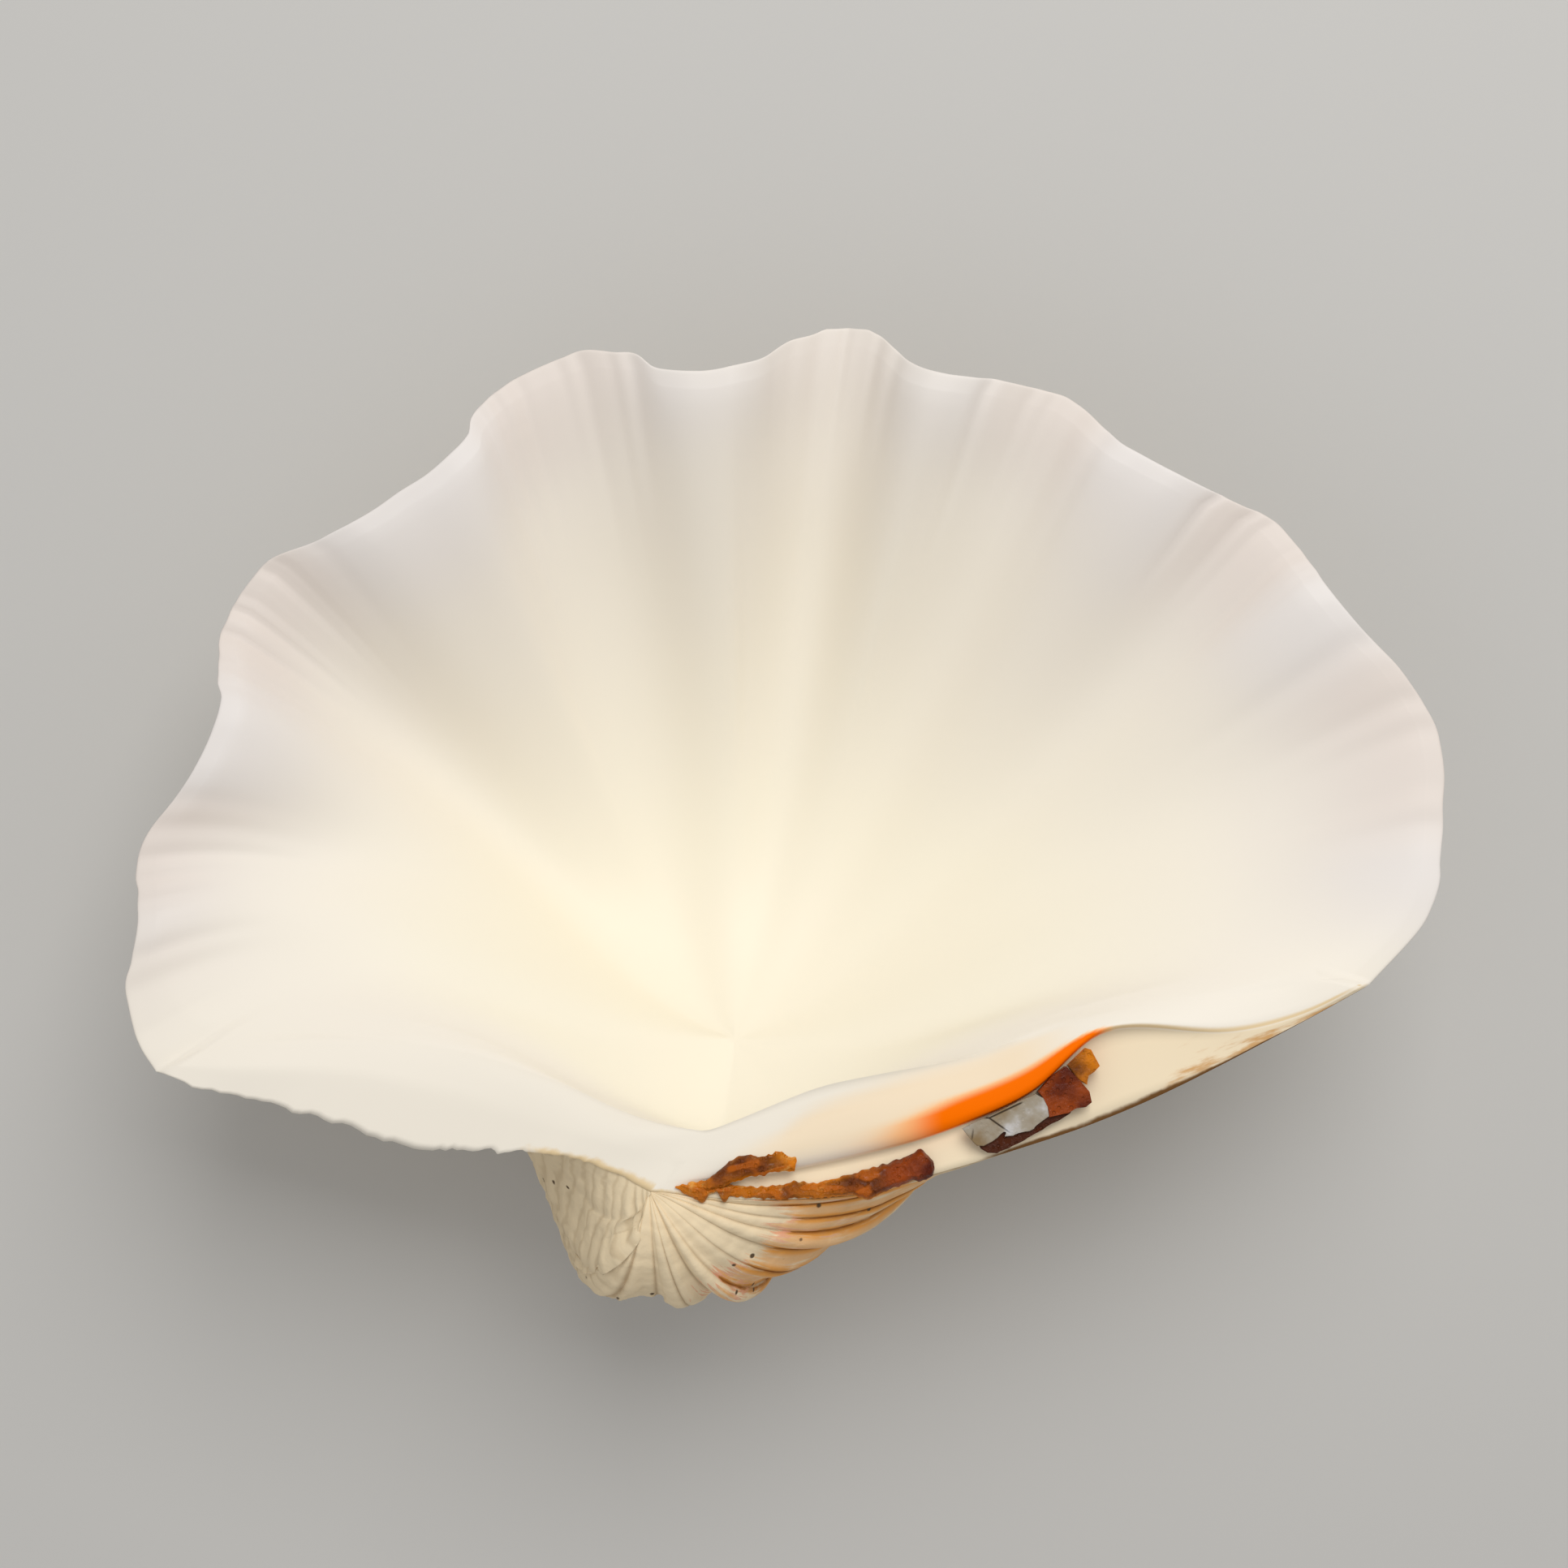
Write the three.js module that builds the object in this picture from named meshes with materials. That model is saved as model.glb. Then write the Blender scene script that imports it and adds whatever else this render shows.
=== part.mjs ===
// One valve of a giant clam, lying on its ribs with the hollow upwards.
//
// The outside is a growth spiral: the same scalloped margin, shrunk and turned about the
// hinge line all the way back to the beak. The hollow is a fan of lines that run from the
// margin down to a cavity under the hinge. The hinge plate closes the gap between the two.
// Millimetres, +Z up. Until it is laid down, the beak is the origin, x runs along the
// hinge towards the long back end, y towards the scalloped margin.

import * as THREE from 'three';

// The margin without its folds, about a centre near the middle of the bowl.
const MARGIN_CENTRE = { x: 40, y: 95 };
// angle in degrees, radius, height
const MARGIN = [
  [-28, 159, 0], [-21, 169, 0], [-10, 167.5, 0], [0, 162, 0], [8, 151.2, 1], [28, 129.8, 2],
  [56, 113.6, 3], [85, 104.4, 4], [123, 111.2, 3], [132, 114.8, 2.5], [140, 121.2, 2],
  [162, 131.6, 1], [181, 150, 0], [190, 156, 0], [196, 158, 0],
];
const BACK_END = -28;
const FRONT_END = 196;

// Each fold of the margin: centre angle, half width, how far it reaches out, how far it dips,
// and how pointed its top is.
const FOLDS = [
  [-6, 11, 5, 3, 1.1], [16.5, 7.5, 6.5, 6, 1.1], [41.7, 9.5, 5.8, 7, 1.1], [68.9, 11, 13.2, 15.2, 1.1],
  [105.4, 14.6, 13.2, 8.2, 0.7], [150, 11, 13, 9, 0.8], [176.5, 7, 6.2, 5, 1.1],
  [190.5, 7.5, 6.3, 3, 1.1],
];

// Growth of the outside: radians turned since the beak, and how the turning slowed down.
const TURN = 3.4;
const TURN_SLOWING = 0.7;
const FRONT_CALM = 0.58;     // the front end coils less
const CALMING = [0.08, 0.42];  // shares of the growth between which it calms down
const FRONT_LAG = 0.46;      // and it spread later
const FRONT_FROM = 150;      // angle where the front end begins
const BACK_CALM = 0.15;      // the back end coils a little less
const BACK_TO = 4;           // angle where the back end stops
const BACK_LEAD = 0.09;      // the back half spread earlier
const LEAD_SPAN = [20, 80];  // angles between which that fades

// The lip, from its outer edge inwards: inset from the margin, height above it.
const LIP = [[0.3, 1.6], [1.0, 2.0], [1.9, 1.9], [3.2, 1.2], [5.0, 0.0]];
const LIP_SIDE_RISE = 2.8;   // the lip lies flatter at the two ends
const LIP_SPAN = 205;        // y at which that rise has gone

// The cavity under the hinge where the lines of the hollow meet.
const CAVITY = { x: 19, y: 18, z: -30 };
// angle in degrees, depth of the hollow along the line to the margin at that angle
const DEPTH = [
  [-28, 7], [-12, 16], [5, 34], [20, 45], [40, 54], [65, 58], [90, 58],
  [115, 60], [140, 55], [160, 43], [178, 12], [190, 2], [196, 2],
];
const STEEP_NEAR = 0.69;     // shape of the drop beside the cavity
const STEEP_FAR = 1.38;      // shape of the rise towards the margin
const FRONT_BOW = 27;        // how far the end lines bend round the hinge plate
const BACK_BOW = 13;
const BACK_BOW_TO = 30;      // angle where the back end's bend stops
const FOLD_FADE = [0.22, 0.85];  // the folds fade out between these shares of a line

// Edges of the hinge plate. Share of the way from the beak to the end of the hinge, then x, y, z.
const FRONT_OUTER = [
  [0, 0, -1, 1.5], [0.1, -11, 8, 1], [0.2, -22, 14, 1], [0.3, -34, 17, 0], [0.5, -56, 22, -1],
  [0.65, -75, 32, -1], [0.9, -103, 44, 0], [1, -114.1, 50.8, 0.2],
];
const FRONT_INNER = [
  [0, 16, 13, -1], [0.1, 5, 17, -1], [0.2, -6, 23, -1.5], [0.35, -24, 36, -2], [0.5, -40, 46, -2],
  [0.7, -66, 52, -1.5], [0.9, -97, 53.5, 0], [1, -109.6, 52.1, 0.5],
];
const BACK_OUTER = [
  [0, 0, -1, 1.5], [0.12, 22, -6, 0], [0.27, 48, -9, -1], [0.37, 67, -7, -1.5], [0.5, 89, -4, -2],
  [0.6, 109, -1, -2.5], [0.72, 130, 4, -2], [0.89, 162, 14, -0.5], [1, 180.4, 20.4, 1.6],
];
const BACK_STEP = [
  [0, 5, 2, 1.2], [0.15, 28, 1, 0.8], [0.33, 60, 2.5, 0.8], [0.43, 78, 5, 1], [0.52, 95, 9.5, 1],
  [0.62, 112, 19, 1], [0.68, 122, 20, 0.5], [0.8, 144, 18, 0.3], [0.9, 162, 18.5, 0.6],
  [1, 178.7, 21.2, 2.8],
];
const BACK_INNER = [
  [0, 16, 13, -1], [0.15, 30, 16, -1.5], [0.25, 45, 19, -2], [0.33, 60, 19.5, -2], [0.46, 83, 20, -2],
  [0.6, 110, 25, -1.5], [0.74, 134, 26, -1], [0.9, 163, 24.5, 0.5], [1, 176, 22.7, 2.5],
];
const STEP_DROP = 3.2;       // from the plate down to the ligament's ledge
const STEP_LEAN = 1.0;       // how far the step leans out at its foot
// Rows over the front half of the plate: share across it, and how much it swells there.
const FRONT_SWELL = [[0.28, 1.6], [0.5, 2.2], [0.78, 1.5]];
const BACK_CROWN = 0.8;
// Where along the hinge each of these rises out of the plate and sinks back into it.
const SWELL_ENDS = [[0, 0.12], [0.8, 1]];
const STEP_ENDS = [[0.02, 0.15], [0.86, 1]];
const CROWN_ENDS = [[0, 0.1], [0.85, 1]];
const CROWN_ACROSS = 0.5;    // share of the way from the step to the plate's inner edge
const BEND_FROM = 0.35;      // share of the hinge from which the lines of the hollow bend round it

// How it lies: hinge line's heading, lean towards the margin, and the wear under the ribs.
const HEADING = 10;
const LEAN = 7;
const FOOT_WEAR = 1.7;

// Dried ligament on its ledge: stations along the hinge, each a share, then how far across
// the ledge its two edges lie, and how thick it is.
const STRIP = [
  [0.035, 0.15, 0.5, 1.0], [0.08, 0.1, 0.62, 1.6], [0.14, 0.12, 0.55, 1.4], [0.2, 0.08, 0.6, 1.8],
  [0.26, 0.1, 0.5, 1.5], [0.31, 0.05, 0.66, 2.4], [0.35, 0.0, 0.8, 2.8], [0.375, 0.1, 0.62, 2.0],
];
const BLOCK = [
  [0.43, 0.4, 0.8, 3.0], [0.47, 0.22, 0.93, 4.4], [0.52, 0.22, 0.95, 5.2], [0.57, 0.25, 0.95, 5.6],
  [0.61, 0.5, 0.95, 5.4],
];
// The torn flap lies on the plate beside the step: share, edges across to the plate's crown, thickness.
const FLAP = [
  [0.045, 0.03, 0.25, 0.8], [0.08, 0.03, 0.42, 1.3], [0.12, 0.04, 0.55, 1.6], [0.16, 0.08, 0.62, 1.4],
  [0.195, 0.22, 0.6, 0.9],
];
const LIGAMENT_GAP = 0.4;
const LIGAMENT_BEVEL = 0.08;  // share of its width taken up by each sloping side
const LIGAMENT_THINNING = 0.85;  // how thick its outer side is beside its inner one

// How finely the surfaces are divided.
const MARGIN_STEPS = 116;
const GROWTH_ROWS = 16;
const GROWTH_CROWDING = 1.1;  // growth rows lie closer together at the beak
const HOLLOW_ROWS = [0.96, 0.9, 0.83, 0.75, 0.67, 0.59, 0.51, 0.43, 0.35, 0.28, 0.21, 0.14, 0.07];

function ease(from, to, x) {
  const t = Math.min(Math.max((x - from) / (to - from), 0), 1);
  return t * t * (3 - 2 * t);
}

// Rises over the first span and falls again over the second.
function between([rise, fall], x) {
  return ease(...rise, x) * (1 - ease(...fall, x));
}

// Smooth curve through one column of a table, read at x in its first column.
function through(table, column, x) {
  const last = table.length - 1;
  let i = 0;
  while (i < last - 1 && x >= table[i + 1][0]) i += 1;
  const step = table[i + 1][0] - table[i][0];
  const t = (x - table[i][0]) / step;
  const slope = (k) => {
    const a = table[Math.max(k - 1, 0)];
    const b = table[Math.min(k + 1, last)];
    return (b[column] - a[column]) / (b[0] - a[0]);
  };
  const start = (2 * t ** 3 - 3 * t ** 2 + 1) * table[i][column];
  const end = (3 * t ** 2 - 2 * t ** 3) * table[i + 1][column];
  const leave = (t ** 3 - 2 * t ** 2 + t) * step * slope(i);
  const arrive = (t ** 3 - t ** 2) * step * slope(i + 1);
  return start + end + leave + arrive;
}

function pointOn(table, share) {
  return new THREE.Vector3(through(table, 1, share), through(table, 2, share), through(table, 3, share));
}

function foldAt(angle) {
  let reach = 0;
  let dip = 0;
  for (const [centre, half, out, down, pointed] of FOLDS) {
    const x = (angle - centre) / half;
    if (Math.abs(x) >= 1) continue;
    const bump = (1 - x * x) ** pointed;
    reach += out * bump;
    dip += down * bump;
  }
  return { reach, dip };
}

// A point of the margin with a share of its folds, moved inwards and up.
function marginPoint(angle, foldShare = 1, inset = 0, rise = 0) {
  const { reach, dip } = foldAt(angle);
  const radius = through(MARGIN, 1, angle) + foldShare * reach - inset;
  const height = through(MARGIN, 2, angle) - foldShare * dip + rise;
  const turn = THREE.MathUtils.degToRad(angle);
  const x = MARGIN_CENTRE.x + radius * Math.cos(turn);
  const y = MARGIN_CENTRE.y + radius * Math.sin(turn);
  return new THREE.Vector3(x, y, height);
}

// How far along the hinge line a share of the growth has come at this angle.
function spread(angle, growth) {
  const lag = FRONT_LAG * ease(FRONT_FROM, FRONT_END, angle);
  const lead = BACK_LEAD * (1 - ease(...LEAD_SPAN, angle));
  return growth ** (1 + lag - lead);
}

// The outside at a margin angle and a share of the growth, 0 at the beak and 1 at the margin.
function outsidePoint(angle, growth) {
  const front = ease(FRONT_FROM, FRONT_END, angle);
  const back = 1 - ease(BACK_END, BACK_TO, angle);
  const calm = 1 - FRONT_CALM * front * ease(...CALMING, growth) - BACK_CALM * back;
  const turn = TURN * (1 - growth) * (1 - TURN_SLOWING * growth) * calm;
  const p = marginPoint(angle);
  const y = growth * (p.y * Math.cos(turn) + p.z * Math.sin(turn));
  const z = growth * (p.z * Math.cos(turn) - p.y * Math.sin(turn));
  return new THREE.Vector3(p.x * spread(angle, growth), y, z);
}

function lipPoint(angle, row, foldShare = 1) {
  const [inset, rise] = LIP[row];
  const p = marginPoint(angle, foldShare, inset, rise);
  const widest = LIP[LIP.length - 1][0];
  p.z += LIP_SIDE_RISE * (inset / widest) * (1 - p.y / LIP_SPAN);
  return p;
}

// Shape of the hollow along a line, 0 at both ends and 1 where it is deepest.
function hollowAt(share) {
  const peak = STEEP_NEAR / (STEEP_NEAR + STEEP_FAR);
  const top = peak ** STEEP_NEAR * (1 - peak) ** STEEP_FAR;
  return share ** STEEP_NEAR * (1 - share) ** STEEP_FAR / top;
}

function hollowPoint(edge, share, depth, bow) {
  const p = new THREE.Vector3(CAVITY.x, CAVITY.y, CAVITY.z).lerp(edge, share);
  p.y += bow * 4 * share * (1 - share);
  p.z -= depth * hollowAt(share);
  return p;
}

// All points from the margin inwards at one angle of the scalloped side.
function marginLine(angle) {
  const line = LIP.map((_, row) => lipPoint(angle, row));
  const depth = through(DEPTH, 1, angle);
  const frontBow = FRONT_BOW * ease(FRONT_FROM, FRONT_END, angle);
  const backBow = BACK_BOW * (1 - ease(BACK_END, BACK_BOW_TO, angle));
  for (const share of HOLLOW_ROWS) {
    const edge = lipPoint(angle, LIP.length - 1, ease(...FOLD_FADE, share));
    line.push(hollowPoint(edge, share, depth, frontBow + backBow));
  }
  return line;
}

function frontPlate(share) {
  const outer = pointOn(FRONT_OUTER, share);
  const inner = pointOn(FRONT_INNER, share);
  const swell = between(SWELL_ENDS, share);
  const rows = FRONT_SWELL.map(([across, height]) => {
    const p = outer.clone().lerp(inner, across);
    p.z += height * swell;
    return p;
  });
  return [outer, ...rows, inner];
}

function backPlate(share) {
  const outer = pointOn(BACK_OUTER, share);
  const inner = pointOn(BACK_INNER, share);
  const top = pointOn(BACK_STEP, share);
  const outwards = outer.clone().sub(top).setZ(0).normalize();
  const foot = top.clone().addScaledVector(outwards, STEP_LEAN);
  foot.z -= STEP_DROP * between(STEP_ENDS, share);
  const crown = top.clone().lerp(inner, CROWN_ACROSS);
  crown.z += BACK_CROWN * between(CROWN_ENDS, share);
  return [outer, foot, top, crown, inner];
}

// All points from the hinge's outer edge inwards at one share of the growth.
function hingeLine(growth, isFront) {
  const share = spread(isFront ? FRONT_END : BACK_END, growth);
  const line = isFront ? frontPlate(share) : backPlate(share);
  const inner = line[line.length - 1];
  const near = ease(BEND_FROM, 1, share);
  const endDepth = isFront ? DEPTH[DEPTH.length - 1][1] : DEPTH[0][1];
  const bow = isFront ? FRONT_BOW : BACK_BOW;
  for (const row of HOLLOW_ROWS) line.push(hollowPoint(inner, row, endDepth * near, bow * near));
  return line;
}

function growthAt(row) {
  return (row / GROWTH_ROWS) ** GROWTH_CROWDING;
}

// A closed mesh from points and triangles.
function meshFrom(points, triangles) {
  const geometry = new THREE.BufferGeometry();
  const numbers = points.flatMap((p) => [p.x, p.y, p.z]);
  geometry.setAttribute('position', new THREE.Float32BufferAttribute(numbers, 3));
  geometry.setIndex(triangles.flat());
  return geometry;
}

function shellGeometry() {
  const points = [new THREE.Vector3(0, 0, 0)];
  const triangles = [];
  const beak = 0;
  const span = FRONT_END - BACK_END;
  const angles = Array.from({ length: MARGIN_STEPS }, (_, i) => BACK_END + (span * i) / (MARGIN_STEPS - 1));
  const at = (i, row) => (row === 0 ? beak : 1 + (row - 1) * MARGIN_STEPS + i);

  for (let row = 1; row <= GROWTH_ROWS; row += 1) {
    for (const angle of angles) points.push(outsidePoint(angle, growthAt(row)));
  }
  for (let row = 0; row < GROWTH_ROWS; row += 1) {
    for (let i = 0; i < MARGIN_STEPS - 1; i += 1) {
      triangles.push([at(i, row), at(i + 1, row + 1), at(i, row + 1)]);
      if (row > 0) triangles.push([at(i, row), at(i + 1, row), at(i + 1, row + 1)]);
    }
  }

  // The edge of the outside: along the margin, back down the front end to the beak, up the back end.
  const edge = angles.map((_, i) => at(i, GROWTH_ROWS));
  const lines = angles.map((angle) => marginLine(angle));
  for (let row = GROWTH_ROWS - 1; row > 0; row -= 1) {
    edge.push(at(MARGIN_STEPS - 1, row));
    lines.push(hingeLine(growthAt(row), true));
  }
  edge.push(beak);
  lines.push(hingeLine(0, false));
  for (let row = 1; row < GROWTH_ROWS; row += 1) {
    edge.push(at(0, row));
    lines.push(hingeLine(growthAt(row), false));
  }

  let ring = edge;
  for (let k = 0; k < lines[0].length; k += 1) {
    const next = lines.map((line) => points.push(line[k]) - 1);
    joinRings(triangles, ring, next);
    ring = next;
  }
  const cavity = points.push(new THREE.Vector3(CAVITY.x, CAVITY.y, CAVITY.z)) - 1;
  ring.forEach((a, i) => triangles.push([a, ring[(i + 1) % ring.length], cavity]));
  return meshFrom(points, triangles);
}

function joinRings(triangles, outer, inner) {
  outer.forEach((a, i) => {
    const j = (i + 1) % outer.length;
    triangles.push([a, outer[j], inner[j]], [a, inner[j], inner[i]]);
  });
}

// A strip of ligament lying on the surface between two rows of the back half of the hinge plate.
function ligamentGeometry(stations, fromRow, toRow) {
  const points = [];
  const triangles = [];
  const rings = stations.map(([share, low, high, thick]) => {
    const plate = backPlate(share);
    const underOuter = plate[fromRow].clone().lerp(plate[toRow], low);
    const underInner = plate[fromRow].clone().lerp(plate[toRow], high);
    underOuter.z += LIGAMENT_GAP;
    underInner.z += LIGAMENT_GAP;
    const overOuter = underOuter.clone().lerp(underInner, LIGAMENT_BEVEL);
    const overInner = underOuter.clone().lerp(underInner, 1 - LIGAMENT_BEVEL);
    overOuter.z += thick * LIGAMENT_THINNING;
    overInner.z += thick;
    const corners = [underOuter, underInner, overInner, overOuter];
    return corners.map((p) => points.push(p) - 1);
  });
  for (let i = 0; i < rings.length - 1; i += 1) joinRings(triangles, rings[i], rings[i + 1]);
  const [first, last] = [rings[0], rings[rings.length - 1]];
  triangles.push([first[0], first[2], first[1]], [first[0], first[3], first[2]]);
  triangles.push([last[0], last[1], last[2]], [last[0], last[2], last[3]]);
  return meshFrom(points, triangles);
}

// Lay the valve down: lean, heading, then the lowest ribs worn flat on the ground.
const laid = new THREE.Matrix4().makeRotationZ(THREE.MathUtils.degToRad(HEADING));
laid.multiply(new THREE.Matrix4().makeRotationX(-THREE.MathUtils.degToRad(LEAN)));

const shell = shellGeometry().applyMatrix4(laid);
shell.computeBoundingBox();
const ground = shell.boundingBox.min.z + FOOT_WEAR;
const places = shell.getAttribute('position');
for (let i = 0; i < places.count; i += 1) places.setZ(i, Math.max(places.getZ(i), ground));
const middle = shell.boundingBox.getCenter(new THREE.Vector3());
const toOrigin = new THREE.Matrix4().makeTranslation(-middle.x, -middle.y, -ground);
shell.applyMatrix4(toOrigin);

const shellMaterial = new THREE.MeshStandardMaterial({ color: 0xece5da, roughness: 0.5, metalness: 0 });
function ligamentMaterial() {
  return new THREE.MeshStandardMaterial({ color: 0x5e3316, roughness: 0.6, metalness: 0 });
}

function named(name, geometry, material) {
  const mesh = new THREE.Mesh(geometry, material);
  mesh.name = name;
  return mesh;
}

function ligament(name, stations, fromRow, toRow) {
  const geometry = ligamentGeometry(stations, fromRow, toRow).applyMatrix4(laid).applyMatrix4(toOrigin);
  return named(name, geometry, ligamentMaterial());
}

const part = new THREE.Group();
part.name = 'giant_clam_valve';
part.add(named('shell_valve', shell, shellMaterial));
part.add(ligament('ligament_strip', STRIP, 0, 1));
part.add(ligament('ligament_block', BLOCK, 0, 1));
part.add(ligament('ligament_flap', FLAP, 2, 3));

export default part;
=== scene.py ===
# %% [markdown]
# # One valve of a giant clam
#
# The shell lies on its ribs with the hollow upwards, and the camera looks straight down into it.
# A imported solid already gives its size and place. This lesson grows a finer skin over that solid,
# adds the scraps of dried ligament on the hinge, and paints both with procedural materials.

# %% Load the frame
import math

import bmesh
import bpy
import numpy as np
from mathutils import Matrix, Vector, noise


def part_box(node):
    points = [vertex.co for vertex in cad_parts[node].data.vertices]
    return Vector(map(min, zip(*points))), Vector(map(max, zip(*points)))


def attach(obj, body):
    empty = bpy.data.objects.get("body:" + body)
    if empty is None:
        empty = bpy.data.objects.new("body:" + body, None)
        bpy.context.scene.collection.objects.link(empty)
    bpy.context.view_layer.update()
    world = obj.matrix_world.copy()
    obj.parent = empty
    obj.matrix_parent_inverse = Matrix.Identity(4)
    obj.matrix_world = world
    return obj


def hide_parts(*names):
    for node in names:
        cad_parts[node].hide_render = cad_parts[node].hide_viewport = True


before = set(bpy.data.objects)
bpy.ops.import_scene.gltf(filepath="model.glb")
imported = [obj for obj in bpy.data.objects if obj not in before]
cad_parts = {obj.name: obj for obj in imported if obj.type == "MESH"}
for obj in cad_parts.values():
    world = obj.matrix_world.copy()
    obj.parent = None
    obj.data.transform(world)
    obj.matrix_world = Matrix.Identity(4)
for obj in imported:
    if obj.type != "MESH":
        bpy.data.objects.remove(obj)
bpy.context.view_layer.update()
MM = 0.001

# %% [markdown]
# ## The camera
#
# The view is from straight above, so the camera needs no turning: an unturned camera in Blender
# looks down the Z axis with Y up in the picture. Its height and lens set how strongly the margin,
# which stands nearer to it, spreads over the bowl below.

# %% Place the camera
CAMERA_PLACE = (-0.05, 7.41, 621.5)
CAMERA_LENS = 49.4
SENSOR_WIDTH = 36.0

camera_data = bpy.data.cameras.new("camera_above")
camera_data.lens = CAMERA_LENS
camera_data.sensor_width = SENSOR_WIDTH
camera = bpy.data.objects.new("camera_above", camera_data)
camera.location = Vector(CAMERA_PLACE) * MM
bpy.context.scene.collection.objects.link(camera)
bpy.context.scene.camera = camera
print("camera height, mm:", round(camera.location.z / MM))

# %% [markdown]
# ## Curves through a few chosen points
#
# Every form below is driven by short tables of points. A cubic curve through them
# keeps the form smooth with few numbers. The helpers take whole arrays, because a shell skin has
# some ninety thousand points and a loop over them would be slow.


# %% Curve helpers
def ease(start, end, x):
    """Rises smoothly from 0 at start to 1 at end."""
    t = np.clip((x - start) / (end - start), 0, 1)
    return t * t * (3 - 2 * t)


def between(ends, x):
    """Rises over the first span and falls again over the second."""
    rise, fall = ends
    return ease(*rise, x) * (1 - ease(*fall, x))


def through(table, column, x):
    """Smooth curve through one column of a table, read at x in its first column."""
    knots = np.array([row[0] for row in table], float)
    values = np.array([row[column] for row in table], float)
    x = np.asarray(x, float)
    last = len(knots) - 1
    before = np.maximum(np.arange(last + 1) - 1, 0)
    after = np.minimum(np.arange(last + 1) + 1, last)
    slopes = (values[after] - values[before]) / (knots[after] - knots[before])
    i = np.clip(np.searchsorted(knots, x, side="right") - 1, 0, last - 1)
    step = knots[i + 1] - knots[i]
    t = (x - knots[i]) / step
    ends = (2 * t**3 - 3 * t**2 + 1) * values[i] + (3 * t**2 - 2 * t**3) * values[i + 1]
    return ends + step * ((t**3 - 2 * t**2 + t) * slopes[i] + (t**3 - t**2) * slopes[i + 1])


def point_on(table, share):
    """Points of a table of share, x, y, z."""
    return np.stack([through(table, k, share) for k in (1, 2, 3)], -1)


def mix(a, b, share):
    """Goes from the points a to the points b."""
    return a + (b - a) * np.asarray(share)[..., None]


print("halfway up an ease:", ease(0, 1, 0.5))

# %% [markdown]
# ## The scalloped margin
#
# The open edge is a wide arc with eight folds. Each fold pushes the edge outwards and dips it.
# Angles are measured about a point in the middle of the bowl, in degrees. The dips are plain round
# bumps. How far the edge reaches out is drawn point by point, because each lobe has its own corners.

# %% Margin and folds
MARGIN_CENTRE = (40, 95)
# angle, radius, height
MARGIN = [
    (-28, 159, 0), (-21, 169, 0), (-10, 167.5, 0), (0, 162, 0), (8, 151.2, 1), (28, 129.8, 2),
    (56, 113.6, 3), (85, 104.4, 4), (123, 111.2, 3), (132, 114.8, 2.5), (140, 121.2, 2),
    (162, 131.6, 1), (181, 150, 0), (190, 156, 0), (196, 158, 0),
]
BACK_END, FRONT_END = -28, 196
# angle, how far the folds push the edge out
REACH = [
    (-28, 0), (-24, -0.6), (-21, 0.1), (-18, 1.1), (-16.5, 0.9), (-12, 2.7), (-9, 4.6), (-6, 5.2),
    (-4.5, 4.9), (-3, 3.9), (0, 2.2), (3, 0.3), (6, 0.6), (9, 1.7), (12, 4.1), (15, 6.4),
    (16.5, 7), (18, 6.5), (19.5, 4.9), (22.5, 2.4), (25.5, 0.7), (31.5, -0.1), (34.5, 1.6),
    (37.5, 4.5), (40.5, 6.4), (42, 6.3), (45, 5), (48, 3.4), (51, 1.3), (54, 0.1), (57, 0.7),
    (60, 3.9), (63, 9.6), (64.5, 12), (66, 13.7), (70.5, 13.8), (72, 12.1), (75, 9), (78, 3.7),
    (81, 1.2), (85, 0.1), (88.5, 0.7), (91.5, 2.4), (93, 4.1), (94.5, 8), (97.5, 10.7),
    (100.5, 13.5), (103.5, 13.6), (108, 12.9), (112.5, 10.8), (117, 6.6), (118.5, 3.2),
    (121.5, 1), (126, 0), (130, 0.5), (136.5, 0.6), (139.5, 2.5), (141, 4.4), (144, 10.3),
    (145.5, 11.8), (148.5, 13.1), (151.5, 13), (154.5, 11.6), (156, 9.4), (159, 5.5),
    (160.5, 2.7), (163.5, 0.6), (168, 0.1), (171, 2), (174, 6.1), (175.5, 7.3), (177, 7.1),
    (178.5, 6.4), (180, 4.6), (183, 3), (186, 4.2), (187.5, 6.1), (189, 6.3), (193.5, 5.2),
    (196, 2.7),
]
# centre angle, half width, dip, number of riblets
FOLDS = [
    (-6, 14, 3, 5), (16.5, 9.5, 6, 5), (41.7, 12, 7, 5), (68.9, 14, 15.2, 6),
    (105.4, 18, 8.2, 7), (150, 14, 9, 8), (176.5, 9, 5, 5), (190.5, 9.5, 3, 4),
]
RIBLET_REACH, RIBLET_DIP = 0.6, 1.1


def fold_at(angle):
    """How far the folds push out and dip at an angle, and how much of a fold it is."""
    dip, lobe = np.zeros_like(angle, dtype=float), np.zeros_like(angle, dtype=float)
    for centre, half, down, _ in FOLDS:
        x = np.clip((angle - centre) / half, -1, 1)
        dip += down * (1 - x * x) ** 2
        lobe += (1 - x * x) ** 2
    return through(REACH, 1, angle), dip, lobe


def margin_point(angle, fold_share=1.0, riblets=0.0, inset=0.0, rise=0.0):
    """Points of the margin with a share of its folds and some riblets, moved inwards and up."""
    reach, dip, _ = fold_at(angle)
    radius = through(MARGIN, 1, angle) + fold_share * reach + RIBLET_REACH * riblets - inset
    height = through(MARGIN, 2, angle) - fold_share * dip - RIBLET_DIP * riblets + rise
    turn = np.radians(angle)
    x = MARGIN_CENTRE[0] + radius * np.cos(turn)
    y = MARGIN_CENTRE[1] + radius * np.sin(turn)
    return np.stack(np.broadcast_arrays(x, y, height), -1)


print("folds:", len(FOLDS))

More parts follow.
